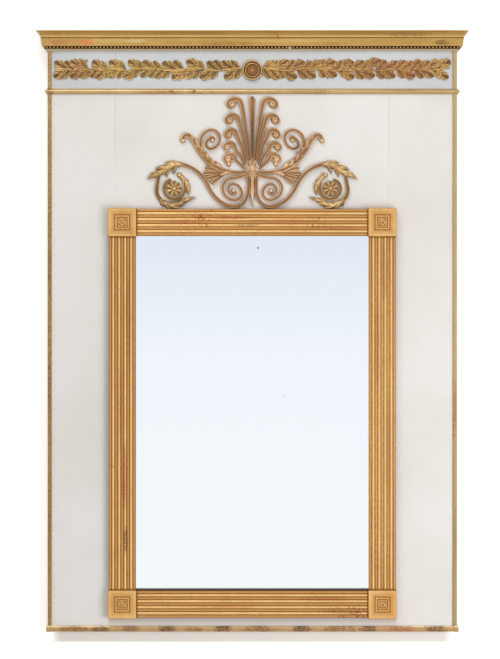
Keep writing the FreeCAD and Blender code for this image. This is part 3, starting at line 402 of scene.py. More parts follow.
# %% The paint group
def make_paint_group():
    """Clouds of yellowing, upright brush marks and a net of cracks."""
    group, given, result = new_group(
        "aged_paint",
        [("Vector", "Vector", None), ("Paint", "Color", chart(222, 219, 214)),
         ("Cloud", "Color", chart(212, 208, 202)), ("Crack", "Color", chart(168, 160, 150))],
        [("Color", "Color"), ("Roughness", "Float"), ("Height", "Float")])
    where = given.outputs["Vector"]
    cloud = noise(group, where, 2.2, 4, 0.6)
    brush = noise(group, stretched(group, where, (90, 90, 5)), 3, 3, 0.6)
    toned = blend(group, rise_between(group, cloud, 0.35, 0.7), given.outputs["Paint"],
                  given.outputs["Cloud"])
    brushed = blend(group, product(group, brush, 0.10), toned, given.outputs["Crack"])
    net = add(group, "TexVoronoi", {"Vector": where, "Scale": 26.0}, feature="DISTANCE_TO_EDGE")
    line = rest_of(group, rise_between(group, net.outputs["Distance"], 0.0, 0.02))
    some = product(group, line, rise_between(group, noise(group, where, 6, 3), 0.56, 0.7))
    plug(group, result, {
        "Color": blend(group, product(group, some, 0.1), brushed, given.outputs["Crack"]),
        "Roughness": sums(group, "MULTIPLY_ADD", cloud, 0.15, 0.5),
        "Height": sums(group, "SUBTRACT", product(group, brush, 0.3), product(group, some, 0.5))})
    return group


PAINT = make_paint_group()
JOINT_AT, JOINT_HALF, HALF_FRAME = 0.388, 0.0016, 0.408      # metres from the middle, across
TONE_FROM, TONE_FULL, TONE_END = 0.014, 0.04, 0.06           # metres above the floor
GAP_FROM, GAP_FULL = 1.30, 1.42                              # over this height the joints open up


def joint_line(tree, where):
    """1 in a hairline over the board joints, left and right."""
    out = sums(tree, "ABSOLUTE", parts_of(tree, where)["X"])
    off = sums(tree, "ABSOLUTE", sums(tree, "SUBTRACT", out, JOINT_AT))
    return rest_of(tree, rise_between(tree, off, 0.0, JOINT_HALF))


def under_frame(tree, where):
    """Where the paint is toned under the bottom rail, since the lamps leave its shadow too pale."""
    place = parts_of(tree, where)
    under = product(tree, rise_between(tree, place["Z"], TONE_FROM, TONE_FULL),
                    sums(tree, "LESS_THAN", place["Z"], TONE_END))
    inside = sums(tree, "LESS_THAN", sums(tree, "ABSOLUTE", place["X"]), HALF_FRAME)
    return product(tree, product(tree, under, inside), 0.55)


def painted(name, paint, cloud, crack, joint):
    """Aged paint in paint chart colours; joint is how dark the hairline over the board joints is."""
    material, tree, shader, where = new_material(name)
    paint, cloud, crack = chart(*paint), chart(*cloud), chart(*crack)
    coat = use_group(tree, PAINT, {"Vector": where, "Paint": paint, "Cloud": cloud, "Crack": crack})
    upper = rise_between(tree, parts_of(tree, where)["Z"], GAP_FROM, GAP_FULL)
    dark = sums(tree, "MULTIPLY_ADD", upper, joint * 0.7, joint * 0.3)
    strength = product(tree, joint_line(tree, where), dark)
    lined = blend(tree, strength, coat.outputs["Color"], crack)
    toned = blend(tree, under_frame(tree, where), lined, chart(150, 126, 104))
    plug(tree, shader, {"Base Color": bare_back(tree, where, toned)[0],
                        "Roughness": coat.outputs["Roughness"]})
    bumped(tree, shader, coat.outputs["Height"], 0.2, 0.0005)
    return material


panel_paint = painted("panel_paint", (224, 221, 217), (214, 210, 204), (170, 160, 148), 0.5)
frieze_paint = painted("frieze_paint", (198, 200, 202), (188, 191, 191), (168, 160, 150), 0.4)
print("paint materials:", panel_paint.name, frieze_paint.name)

# %% [markdown]
# ## Bare wood, glass and fittings
# The photograph shows no back, so its finishes are guesses: bare softwood with darker clouds and
# grain along each board, buttons of dull brass, and hangers and screws of plated steel. The glass is
# a silvered plate with a few dark specks.


# %% Wood for the back
def softwood(name, stretch):
    """Bare wood; stretch is small along the grain."""
    material, tree, shader, where = new_material(name, roughness=0.75)
    along = stretched(tree, where, stretch)
    grain = noise(tree, along, 60, 5, 0.65)
    ring = noise(tree, along, 14, 2, 0.5)
    smoke = noise(tree, where, 3, 3, 0.6)
    base = blend(tree, rise_between(tree, ring, 0.35, 0.65), chart(176, 138, 96), chart(150, 112, 74))
    fibre = blend(tree, rise_between(tree, grain, 0.5, 0.75), base, chart(112, 80, 50))
    dusky = blend(tree, rise_between(tree, smoke, 0.45, 0.8), fibre, chart(98, 74, 52))
    plug(tree, shader, {"Base Color": dusky})
    bumped(tree, shader, grain, 0.3, 0.0008)
    return material


wood_upright = softwood("wood_upright", (1.0, 1.0, 0.05))
wood_level = softwood("wood_level", (0.05, 1.0, 1.0))


# %% Glass, brass and steel
SPECK = (0.0158, -0.059, 1.0866)    # the one large speck in the silvering, in metres
SILL_FULL, SILL_END = 0.1225, 0.1262    # the dark line at the foot of the glass, by height in metres


def mirror_plate():
    """Silvered glass with fine specks, one large one, and painted shade along its foot."""
    material, tree, shader, where = new_material("mirror_plate", metallic=1.0, roughness=0.03)
    spots = add(tree, "TexVoronoi", {"Vector": where, "Scale": 6.0})
    speck = rest_of(tree, rise_between(tree, spots.outputs["Distance"], 0.012, 0.022))
    named = add(tree, "VectorMath", {0: where, 1: SPECK}, operation="DISTANCE")
    black = rest_of(tree, rise_between(tree, named.outputs["Value"], 0.0016, 0.0030))
    thin = product(tree, speck, 0.25)
    tinted = blend(tree, thin, chart(252, 253, 253), chart(120, 124, 130))
    # The dark line at the foot of the glass is painted shade.
    sill = rest_of(tree, rise_between(tree, parts_of(tree, where)["Z"], SILL_FULL, SILL_END))
    foot_shaded = blend(tree, product(tree, sill, 0.95), tinted, chart(66, 36, 22))
    plug(tree, shader, {"Base Color": blend(tree, black, foot_shaded, chart(34, 32, 34))})
    return material


def fitting_metal(name, tone, dull, roughness):
    """Metal that handling has left bright in places and dull in others."""
    material, tree, shader, where = new_material(name, metallic=0.9, roughness=roughness)
    rubbed = noise(tree, where, 60, 4, 0.6)
    plug(tree, shader, {"Base Color": blend(tree, rise_between(tree, rubbed, 0.4, 0.7), tone, dull),
                        "Roughness": sums(tree, "MULTIPLY_ADD", rubbed, 0.25, roughness - 0.1)})
    return material


plate = mirror_plate()
brass = fitting_metal("button_brass", chart(196, 160, 92), chart(140, 108, 60), 0.4)
steel = fitting_metal("fitting_steel", chart(196, 194, 188), chart(140, 134, 124), 0.35)
print("metals:", brass.name, steel.name, "glass:", plate.name)

# %% [markdown]
# ## Dress the solids
# A node of the frame keeps its mesh, so it is only given a material. The table below sorts them by
# what their names say.


# %% Materials for the carried-over solids
def finish_for(name):
    """The finish of a solid, by its name."""
    if name == "mirror_glass":
        return plate
    if name.endswith("turn_button"):
        return brass
    if "hanger" in name or name == "fitting_screws":
        return steel
    if name.endswith("batten") or name in ("glass_backing", "crown_board"):
        upright = name.startswith(("left", "right")) or name == "glass_backing"
        return wood_upright if upright else wood_level
    if name == "frieze_board":
        return frieze_paint
    if name.endswith("board"):
        return panel_paint
    if name.startswith("cornice"):
        return cornice_gold
    if name.startswith("bed"):
        return bed_gold
    if name.startswith("bottom_rail") or "foot_block" in name:
        return foot_gold
    if name.startswith("mid_rail") or "strip" in name:
        return edge_gold
    return carved_gold


dressed = 0
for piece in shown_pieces():
    piece.data.materials.clear()
    piece.data.materials.append(finish_for(piece.name))
    dressed += 1
print("solids dressed:", dressed)

# %% [markdown]
# ## Carving tools
# Every scroll, leaf and frond here is relief carving: a strip that follows a line on the panel and
# swells up from it. The line is a chain of arcs, as a carver sets it out with compasses. The strip
# starts as a flat slab from create_grid, pulled out once so that it is closed, and is then bent along
# the line. That makes clean rows of faces, which a traced outline filled with triangles would not.


# %% Setting out a line of arcs
def arc_walk(points, heading, step=0.12):
    """Places (u, v, direction) along tangent arcs through the points, setting off along heading."""
    way = radians(heading)
    places = [(points[0][0], points[0][1], way)]
    for (u0, v0), (u1, v1) in zip(points, points[1:]):
        chord = hypot(u1 - u0, v1 - v0)
        half_turn = (atan2(v1 - v0, u1 - u0) - way + pi) % (2 * pi) - pi
        if abs(half_turn) < 0.02:
            way += half_turn
            places.append((u1, v1, way))
            continue
        radius = chord / (2 * sin(half_turn))
        middle = (u0 - radius * sin(way), v0 + radius * cos(way))
        count = ceil(abs(2 * half_turn) / step)
        for k in range(1, count + 1):
            turned = way + 2 * half_turn * k / count
            places.append((middle[0] + radius * sin(turned), middle[1] - radius * cos(turned),
                           turned))
        way += 2 * half_turn
    return places


class Line:
    """A walk that can be asked for the place at a share of its length."""

    def __init__(self, points, heading):
        self.places = arc_walk(points, heading)
        self.far = [0.0]
        for (u0, v0, _), (u1, v1, _) in zip(self.places, self.places[1:]):
            self.far.append(self.far[-1] + hypot(u1 - u0, v1 - v0))
        self.long = self.far[-1]

    def at(self, share):
        want = min(max(share, 0.0), 1.0) * self.long
        k = 1
        while k < len(self.far) - 1 and self.far[k] < want:
            k += 1
        part = (want - self.far[k - 1]) / max(self.far[k] - self.far[k - 1], 1e-9)
        start, end = self.places[k - 1], self.places[k]
        return tuple(a + (b - a) * part for a, b in zip(start, end))


print("a quarter circle of radius 10 is", round(Line([(0, 0), (10, 10)], 0).long, 1), "mm long")


# %% Carving a strip
def carve(bm, line, half_wide, rise, section, cuts):
    """Bend a slab along a line. half_wide(t, s) and rise(t) are in mm; section(s, t) runs from 0 to 1
    across the strip, where s goes from -1 to 1."""
    proud = bm.verts.layers.float.get("proud")
    flat = bmesh.ops.create_grid(bm, x_segments=cuts[0], y_segments=cuts[1], size=0.5)
    slab = set(flat["verts"])
    faces = {face for vert in flat["verts"] for face in vert.link_faces}
    pulled = bmesh.ops.extrude_face_region(bm, geom=list(faces), use_keep_orig=True)
    top = {item for item in pulled["geom"] if isinstance(item, bmesh.types.BMVert)}
    for vert in slab | top:
        t, s = vert.co.x + 0.5, vert.co.y * 2
        u, v, way = line.at(t)
        off = s * half_wide(t, s)
        lift = section(s, t) if vert in top else 0.0
        vert[proud] = lift
        vert.co = (u - sin(way) * off, -lift * rise(t), v + cos(way) * off)
    return slab | top


def carve_button(bm, u, v, radius, deep, squash=1.0, dimple=0.0):
    """A round bud or boss: a half ball, pressed in at the middle if it has a dimple."""
    proud = bm.verts.layers.float.get("proud")
    made = bmesh.ops.create_uvsphere(bm, u_segments=20, v_segments=12, radius=1.0)
    verts = made["verts"]
    for vert in verts:
        across = hypot(vert.co.x, vert.co.y)
        lift = max(vert.co.z, 0.0) - dimple * max(0.0, 1 - across * 2.2)
        vert[proud] = 0.15 + 0.85 * max(lift, 0.0)
        vert.co = (u + vert.co.x * radius * squash, -max(lift, 0.0) * deep, v + vert.co.y * radius)
    edges = list({edge for vert in verts for edge in vert.link_edges})
    bmesh.ops.dissolve_degenerate(bm, dist=1e-5, edges=edges)


def hand_over(bm, name, material):
    """An object made of a finished bmesh."""
    mesh = bpy.data.meshes.new(name)
    bm.to_mesh(mesh)
    bm.free()
    mesh.materials.append(material)
    return linked(name, mesh)


def new_carving():
    """An empty bmesh that can store how proud each point stands."""
    bm = bmesh.new()
    bm.verts.layers.float.new("proud")
    return bm


def set_in_place(bm, name, material, up, node, side=1, sharp=50):
    """Bring a carving to size on the panel's face, mirror it for the left side, and hang it."""
    bmesh.ops.remove_doubles(bm, verts=bm.verts[:], dist=0.01)
    for vert in bm.verts:
        vert.co = (vert.co.x * side * MM, (vert.co.y - FACE) * MM, (vert.co.z + up) * MM)
    bmesh.ops.recalc_face_normals(bm, faces=bm.faces[:])
    for face in bm.faces:
        face.smooth = True
    for edge in bm.edges:
        if len(edge.link_faces) == 2 and edge.calc_face_angle(0.0) > radians(sharp):
            edge.smooth = False
    piece = hand_over(bm, name, material)
    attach(piece, "case")
    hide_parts(node)
    print(name, len(piece.data.polygons), "faces")


def set_pair(bm, kind, material, up, side):
    """Hang one of a pair of carvings, left where side is -1 and right where it is 1."""
    node = f"{'right' if side > 0 else 'left'}_{kind}"
    set_in_place(bm, f"{node}_carving", material, up, node, side)


def reach(place, way, long):
    """The place at a distance from another along a direction in degrees."""
    return place[0] + long * cos(radians(way)), place[1] + long * sin(radians(way))


# %% Sections and swells
def rounded(s, t):
    """A plain round back on a short upright edge."""
    return 0.3 + 0.7 * sqrt(max(0.0, 1 - s * s))


def ridged(s, t):
    """A round rib between two low shoulders."""
    return 0.36 + 0.64 * sqrt(max(0.0, 1 - (s / 0.62) ** 2)) if abs(s) < 0.62 else 0.36


def hollowed(s, t):
    """Two raised edges with a hollow between, and a low rib along its middle."""
    rim = exp(-((abs(s) - 0.72) / 0.24) ** 2)
    return 0.42 + 0.58 * rim + 0.2 * exp(-(s / 0.14) ** 2)


def tapered(start, end, swell=0.0):
    """A half width that goes from start to end, with a swell in the middle."""
    def half(t, s):
        return start + (end - start) * t + swell * sin(pi * t)
    return half


def even(height):
    """The same rise all along."""
    return lambda t: height


def fading(height, ends, low):
    """A rise that sinks at both ends."""
    return lambda t: height * (low + (1 - low) * min(1.0, min(t, 1 - t) / ends))


def acanthus(wide, lobes, bite):
    """The half width of an acanthus leaf: swelling, then pointed, with a lobed edge."""
    def half(t, s):
        body = wide * (sin(pi * min(1.0, t * 0.9 + 0.1)) ** 0.7) * (1 - 0.25 * t)
        wave = abs(sin(pi * (t * lobes + (0.25 if s > 0 else 0.0))))
        return max(0.8, body * (1 - bite * (1 - wave) * abs(s)))
    return half


def veined(lobes):
    """The relief of a leaf: a midrib, and furrows that sweep out to the lobes."""
    def section(s, t):
        furrow = 0.22 * cos(2 * pi * (t * lobes - abs(s) * 0.9))
        crown = 0.45 + 0.4 * (1 - s * s) + 0.25 * exp(-(s / 0.15) ** 2)
        return max(0.22, min(1.0, crown - furrow * (0.3 + 0.7 * abs(s))))
    return section


print("sections ready")

# %% [markdown]
# ## The crest
# Over the mirror stands a palmette: a club between sheaves of fronds whose tips roll into buds,
# on a boss with a drop below it. Scrolls spread from the boss, each with an acanthus arm and two
# volutes, and end in a rinceau, a leafy ring round a rosette. The points are the tops and turns of
# the arcs, measured outward (u) and up (v) from the boss.

# %% Crest centre
CREST_UP = 1311.5
DEEP = 13.4


def crest_centre():
    """The club, the drop below it, a leaf up and a leaf down, and the boss over them."""
    bm = new_carving()
    club = Line([(0, 8), (0, 205.4)], 90)

    def club_half(t, s):
        swell = 4.0 + 2.4 * t + 4.2 * max(0.0, (t - 0.5) / 0.5) ** 1.2
        return swell * sqrt(max(0.0, 1 - max(0.0, (t - 0.93) / 0.07) ** 2)) + 0.05

    carve(bm, club, club_half, even(DEEP * 0.95), hollowed, (30, 14))
    drop = Line([(0, -8), (0, -106)], 270)

    def drop_half(t, s):
        beads = 3.4 * exp(-((t - 0.12) / 0.12) ** 2) + 3.0 * exp(-((t - 0.55) / 0.2) ** 2)
        return 4.6 + beads - 4.2 * t ** 5

    carve(bm, drop, drop_half, even(DEEP * 0.85), rounded, (30, 12))
    carve(bm, Line([(0, -3), (0, 31)], 90), lambda t, s: 13 * cos(t * 1.45) ** 0.8 + 0.4,
          even(DEEP * 0.8), veined(2), (10, 8))
    carve(bm, Line([(0, 3), (0, -36)], 270), lambda t, s: 16 * cos(t * 1.42) ** 1.1 + 0.6,
          even(DEEP * 0.75), veined(2), (10, 8))
    carve_button(bm, 0, 0, 16, DEEP, squash=0.8)
    set_in_place(bm, "crest_centre_carving", carved_gold, CREST_UP, "crest_centre")


crest_centre()

# %% The fans of fronds
# Each frond: its bud (u, v, radius), the top of its arch, and its stem from there down to its foot
FRONDS = (
    ((58.5, 184.5, 11.5), (47, 197), ((30, 183), (22, 140), (13, 80), (9, 26))),
    ((64.2, 139.3, 10.5), (54, 151), ((38, 138), (30, 108), (20, 65), (14, 24))),
    ((67.0, 97.7, 9.5), (58, 109), ((44, 98), (35, 75), (25, 45), (17, 14))),
    ((71.0, 62.4, 9.0), (62, 72), ((50, 63), (39, 44), (22, 9))),
    ((68.8, 29.5, 10.0), (59, 40), ((50, 33), (42, 20), (21, 0))),
)


def stem_half(t, s):
    """The half width of a frond from its arch down to its foot in the sheaf."""
    return 3.1 + 4.9 * (1 - t) ** 1.5


def frond(bm, bud, top, stem, rise):
    """A stem that swells towards its arch, rolls over, and ends in a coiled bud."""
    u, v, radius = bud
    down = Line([top, *stem], 180)
    carve(bm, down, stem_half, fading(rise, 0.1, 0.8), hollowed, (40, 12))
    tip = Line([top, (u + radius * 0.75, v), (u, v - radius * 0.6)], 0)
    carve(bm, tip, tapered(8.0, 6.5), even(rise), hollowed, (20, 12))
    carve_button(bm, u, v - 1, radius * 1.06, rise * 1.04, dimple=0.5)


def crest_fan(side):
    """Five fronds, the uppermost deepest, and a small curl at their foot."""
    bm = new_carving()
    for k, (bud, top, stem) in enumerate(FRONDS):
        frond(bm, bud, top, stem, DEEP * (0.86 - 0.05 * k))
    rise = DEEP * 0.6
    curl = Line([(56, 21), (68, 20), (72, 13), (66, 7)], 20)
    carve(bm, curl, tapered(3.4, 1.8), even(rise), ridged, (14, 8))
    carve_button(bm, 66, 13.5, 6.5, rise)
    set_pair(bm, "crest_fan", carved_gold, CREST_UP, side)


for side in (-1, 1):
    crest_fan(side)

# %% The scrolls
CREST_RISE = DEEP * 0.82
# Each leaflet: its foot (u, v), the direction it sets off in, its length and its width
ARM_LEAFLETS = (
    ((86, 2), 34, 28, 14), ((106, 8), 50, 27, 14), ((124, 24), 62, 27, 14), ((139, 44), 66, 26, 14),
    ((152, 64), 62, 24, 13), ((166, 82), 50, 18, 11), ((112, 10), 6, 22, 11), ((133, 32), 26, 22, 12),
    ((150, 58), 34, 20, 11))


def leaflets(bm, rows, bend, rise):
    """Small leaves that branch off, each bent by half of bend from the line to its tip."""
    for foot, way, long, wide in rows:
        blade = Line([foot, reach(foot, way + bend, long)], way)
        carve(bm, blade, acanthus(wide * 0.5, 2, 0.15), fading(rise, 0.2, 0.6), veined(2), (14, 8))


def husk_half(t, s):
    """The half width of a husk petal, widest near its round tip."""
    return (1.8 + 6.6 * t) * sqrt(max(0.0, 1 - max(0.0, (t - 0.78) / 0.22) ** 2)) + 0.1


def crest_scroll(side):
    """The acanthus arm, two volutes, the S-scroll and its husk."""
    bm, deep = new_carving(), CREST_RISE
    arm = Line([(12, -9), (60, -10), (134, 30.5), (164, 76.7), (180, 94), (194, 89), (200, 77)], 350)
    carve(bm, arm, tapered(4.6, 7.0, 2.0), fading(deep, 0.05, 0.6), hollowed, (80, 12))
    carve_button(bm, 197, 79.5, 7, deep)
    leaflets(bm, ARM_LEAFLETS, 14, deep * 0.98)
    upper = Line([(133, 26), (143, 48), (146, 82), (119, 109.5), (92, 83), (112, 57.5), (130, 76),
                  (117, 89.5), (108, 82)], 60)
    carve(bm, upper, tapered(5.0, 3.7), fading(deep * 0.8, 0.04, 0.6), hollowed, (90, 10))
    carve_button(bm, 113.5, 80.0, 6.2, deep * 0.9)
    lower = Line([(10, -14), (31, -22), (58, -27), (84, -57), (53, -89), (30, -66), (50, -43.5),
                  (68, -60), (54, -73), (46, -65)], 335)
    carve(bm, lower, tapered(5.0, 3.7), fading(deep * 0.8, 0.04, 0.6), hollowed, (100, 10))
    carve_button(bm, 53.0, -62.0, 6.6, deep * 0.9)
    big = Line([(13, -20), (11, -60), (20, -90), (56, -107), (97, -88), (124, -51), (141, -23),
                (205, 13)], 262)
    carve(bm, big, tapered(4.8, 5.6, 0.6), fading(deep, 0.03, 0.6), hollowed, (90, 12))
    for bend, tip in ((34, (134, 2)), (12, (139, -13)), (-14, (132, -29)), (-40, (116, -42))):
        carve(bm, Line([(80, -15), tip], bend), husk_half, fading(deep, 0.1, 0.5), hollowed, (16, 10))
    carve(bm, Line([(60, -8), (90, -18)], 350), tapered(4.5, 7.5), fading(deep * 1.05, 0.3, 0.7),
          veined(2), (10, 8))
    set_pair(bm, "crest_scroll", carved_gold, CREST_UP, side)


for side in (-1, 1):
    crest_scroll(side)

# %% The rinceaux
HEART = (221.4, -56.0)
CROWN_LEAFLETS = (((216, 14), 20, 30, 12), ((240, 6), 0, 36, 13), ((262, -8), -12, 34, 11),
                  ((214, 6), -50, 24, 10), ((238, -4), -62, 20, 9))


def crest_rinceau(side):
    """A leafy ring round a rosette of eight petals."""
    bm, deep = new_carving(), CREST_RISE
    crown = Line([(194, 11.5), (212, 13), (240, 4), (268, -14), (299, -29)], 8)
    carve(bm, crown, acanthus(13.0, 6, 0.2), fading(deep, 0.12, 0.5), veined(6), (60, 12))
    leaflets(bm, CROWN_LEAFLETS, -12, deep * 0.95)
    outer = Line([(222, -101), (256, -90), (271, -55), (262, -8)], 0)
    carve(bm, outer, tapered(5.4, 4.2, 0.8), even(deep * 0.8), hollowed, (40, 12))
    turns = ((150, 34), (200, 30), (290, 30), (385, 29), (430, 26))
    inner = Line([(206, -14)] + [reach(HEART, way, far) for way, far in turns], 225)
    carve(bm, inner, tapered(5.6, 4.0), even(deep * 0.75), hollowed, (60, 10))
    foot = Line([(262, -88), (240, -101), (205, -99), (160, -80)], 215)
    carve(bm, foot, acanthus(12.0, 5, 0.18), fading(deep, 0.12, 0.5), veined(5), (50, 12))
    side_leaf = Line([(207, -18), (186, -40), (183, -75)], 215)
    carve(bm, side_leaf, acanthus(9.5, 4, 0.18), fading(deep, 0.12, 0.5), veined(4), (36, 12))
    carve_button(bm, 207, -18, 7.5, deep)
    carve_button(bm, 252, -97, 9.5, deep, dimple=0.3)
    for k in range(8):
        petal = Line([reach(HEART, 45 * k, 4), reach(HEART, 45 * k, 22)], 45 * k)
        carve(bm, petal, lambda t, s: 1.6 + 7.0 * sin(pi * (0.12 + 0.72 * t)),
              fading(deep * 0.85, 0.2, 0.6), hollowed, (10, 10))
    carve_button(bm, HEART[0], HEART[1], 7.5, deep * 1.05, dimple=0.25)
    set_pair(bm, "crest_rinceau", leaf_gold, CREST_UP, side)


for side in (-1, 1):
    crest_rinceau(side)

# %% [markdown]
# ## The garlands and the patera
# Two branches of lobed leaves run out from a round boss, the patera, in the middle of the frieze.
# They are thin leaves on a wavy stem, each a little different in size and lean, so a seeded random
# draw varies them.

# %% The garlands
GARLAND_UP = 1594.0
# How far out the middle of each leaf is, for each side: upper row, lower row
GARLAND_LEAVES = {
    -1: ((540, 497, 437, 386, 335, 290, 233, 165, 111, 66),
         (552, 500, 472, 429, 393, 347, 298, 262, 213, 175, 130, 64)),
    1: ((50, 82, 129, 176, 216, 265, 297, 344, 394, 435, 484, 516, 552),
        (62, 105, 164, 216, 273, 325, 386, 443, 491, 540))}
LEAF_END, LEAF_HIGH, STRIP_AT = 563.0, 23.0, 566.0      # leaves stop before the frieze's end strip
GARLAND_CURLS = ((150, 1), (205, -1), (318, 1), (372, -1), (462, 1), (520, -1))


def lobed(wide, lobes):
    """The half width of a broad leaf: it widens fast, and its edge is scalloped."""
    def half(t, s):
        body = wide * min(1.0, (t / 0.42) ** 0.6) * sqrt(max(0.0, 1 - max(0.0, (t - 0.5) / 0.5) ** 2.4))
        notch = abs(cos(pi * (t * lobes + (0.35 if s > 0 else 0.1)))) ** 4
        return max(0.4, body * (1 - 0.26 * notch * abs(s)))
    return half


def ribbed(s, t):
    """A cupped blade with a deep midrib and ribs that sweep outward."""
    rib = cos(2 * pi * (t * 2.6 - abs(s) * 1.5))
    cup = 0.42 + 0.34 * abs(s) ** 1.3 + 0.2 * sin(pi * t)
    return max(0.12, min(1.0, cup + 0.24 * rib * min(1.0, abs(s) * 3) - 0.4 * exp(-(s / 0.12) ** 2)))


def garland(side):
    """A wavy stem, two leaves at each spot above and below it, and curling tendrils."""
    bm = new_carving()
    draw = random.Random(7 if side > 0 else 3)
    waves = [(31 + 33 * k, 3.5 * (1, 0, -1, 0)[k % 4]) for k in range(17)]
    carve(bm, Line(waves, 0), tapered(2.8, 1.6), even(3.4), rounded, (120, 6))
    for row, spots in zip((1, -1), GARLAND_LEAVES[side]):
        for far in spots:
            for back, long, wide, slope, lift in ((0, 45, 14.5, 32, 3.6), (20, 38, 12.5, 54, 2.8)):
                long, wide = long * draw.uniform(0.9, 1.12), wide * draw.uniform(0.88, 1.12)
                way = row * (slope + draw.uniform(-16, 14))
                run, lean = long * cos(radians(way)), long * sin(radians(way))
                middle = row * draw.uniform(11.0, 14.5)
                foot = (max(30.0, far - back * draw.uniform(0.7, 1.2) - run * 0.5), middle - lean * 0.5)
                tip = (min(foot[0] + run, LEAF_END),
                       max(-LEAF_HIGH, min(LEAF_HIGH, middle + lean * 0.5)))
                blade = Line([foot, tip], way + draw.uniform(-26, 26))
                carve(bm, blade, lobed(wide, draw.choice((2.0, 2.5, 3.0))), fading(lift, 0.15, 0.5),
                      ribbed, (20, 12))
    for far, row in GARLAND_CURLS:
        curl = Line([(far, 0), (far + 12, row * 12), (far + 8, row * 24)], row * 40)
        carve(bm, curl, tapered(2.0, 1.2), even(3.2), rounded, (12, 6))
        carve_button(bm, far + 8, row * 24, 3.4, 3.8)
    for vert in bm.verts:
        vert.co.x = min(vert.co.x, STRIP_AT)
    set_pair(bm, "garland", garland_gold, GARLAND_UP, side)


for side in (-1, 1):
    garland(side)


# %% The patera
# Its turned rings from the rim inward: (radius, rise, proud)
# The proud column paints high rings pale and low ones dark: painted highlight and painted shade.
RINGS = ((29.1, 0.0, 0.2), (29.1, 5.0, 0.6), (27.6, 7.6, 1.0), (25.4, 7.6, 0.9), (24.0, 5.0, 0.25),
         (21.5, 4.2, 0.1), (19.8, 5.8, 0.8), (18.2, 6.2, 0.8), (17.0, 4.2, 0.1), (12.0, 4.0, 0.2),
         (5.0, 4.6, 0.5))


def patera():
    """Turned rings, and a rosette of eight petals with a bud."""
    bm = new_carving()
    proud = bm.verts.layers.float.get("proud")
    made = bmesh.ops.create_circle(bm, segments=64, radius=RINGS[0][0])
    loop = made["verts"]
    edges = list({edge for vert in loop for edge in vert.link_edges})
    for vert in loop:
        vert.co = (vert.co.x, 0.0, vert.co.y)
    first = edges
    for (radius, rise, high), (before, _, _) in zip(RINGS[1:], RINGS):
        grown = bmesh.ops.extrude_edge_only(bm, edges=edges)["geom"]
        edges = [item for item in grown if isinstance(item, bmesh.types.BMEdge)]
        for vert in (item for item in grown if isinstance(item, bmesh.types.BMVert)):
            vert.co = (vert.co.x * radius / before, -rise, vert.co.z * radius / before)
            vert[proud] = high
    bmesh.ops.contextual_create(bm, geom=edges)
    bmesh.ops.contextual_create(bm, geom=first)
    for k in range(8):
        petal = Line([reach((0, 0), 45 * k, 3), reach((0, 0), 45 * k, 16.5)], 45 * k)
        carve(bm, petal, lambda t, s: 1.2 + 4.6 * sin(pi * (0.1 + 0.8 * t)), fading(7.6, 0.25, 0.7),
              hollowed, (8, 6))
    carve_button(bm, 0, 0, 5.2, 9.0)
    set_in_place(bm, "patera_carving", patera_gold, 1591.0, "patera")


patera()

# %% [markdown]
# ## The reeded frame
# The rails carry nine reeds. Every second one stands proud and is painted paler, while the lower
# ones and the grooves get dirt and painted shade, which is why the rails look striped from afar. A
# rail is one section drawn round as a loop and pulled along with extrude_edge_only. Near the corner
# blocks the reeds round down to nothing.

# %% Reeded rails
RAIL_WIDE, RAIL_THICK, REEDS, REED_CUTS = 76.2, 22.0, 9, 8
GROOVE_AT, REBATE_WIDE, REBATE_DEEP = 18.9, 8.0, 14.0
END_STEPS = (0.0, 0.6, 1.4, 2.6, 4.2, 6.2, 9.0)
BLOCK_SIZE, BLOCK_THICK = 80.0, 25.0
BLOCK_OUT, BLOCK_UP = 367.5, {"bottom": 79.6, "top": 1158.6}    # the middles of the corner blocks
RAIL_OUT = 38.0                 # a rail's outer edge, from the line through the blocks' middles


def reed_profile():
    """(across, depth at the end, full depth, proud) round the section, from the outer back corner."""
    pitch = RAIL_WIDE / REEDS
    loop = [(0.0, 0.0, 0.0, 0.3)]
    for k in range(REEDS):
        high = RAIL_THICK if k % 2 else RAIL_THICK - 1.3
        for j in range(REED_CUTS):
            a = -1 + 2 * j / REED_CUTS
            swell = sqrt(max(0.0, 1 - a * a))
            full = GROOVE_AT + (high - GROOVE_AT) * swell
            # Lower reeds get less proud, so the gilding paints them darker: painted shade.
            loop.append(((k + j / REED_CUTS) * pitch, GROOVE_AT, full, swell * (1.0 if k % 2 else 0.6)))
    step = RAIL_WIDE - REBATE_WIDE
    loop += [(RAIL_WIDE, GROOVE_AT, GROOVE_AT, 0.0), (RAIL_WIDE, REBATE_DEEP, REBATE_DEEP, 0.1),
             (step, REBATE_DEEP, REBATE_DEEP, 0.1), (step, 0.0, 0.0, 0.1)]
    return loop


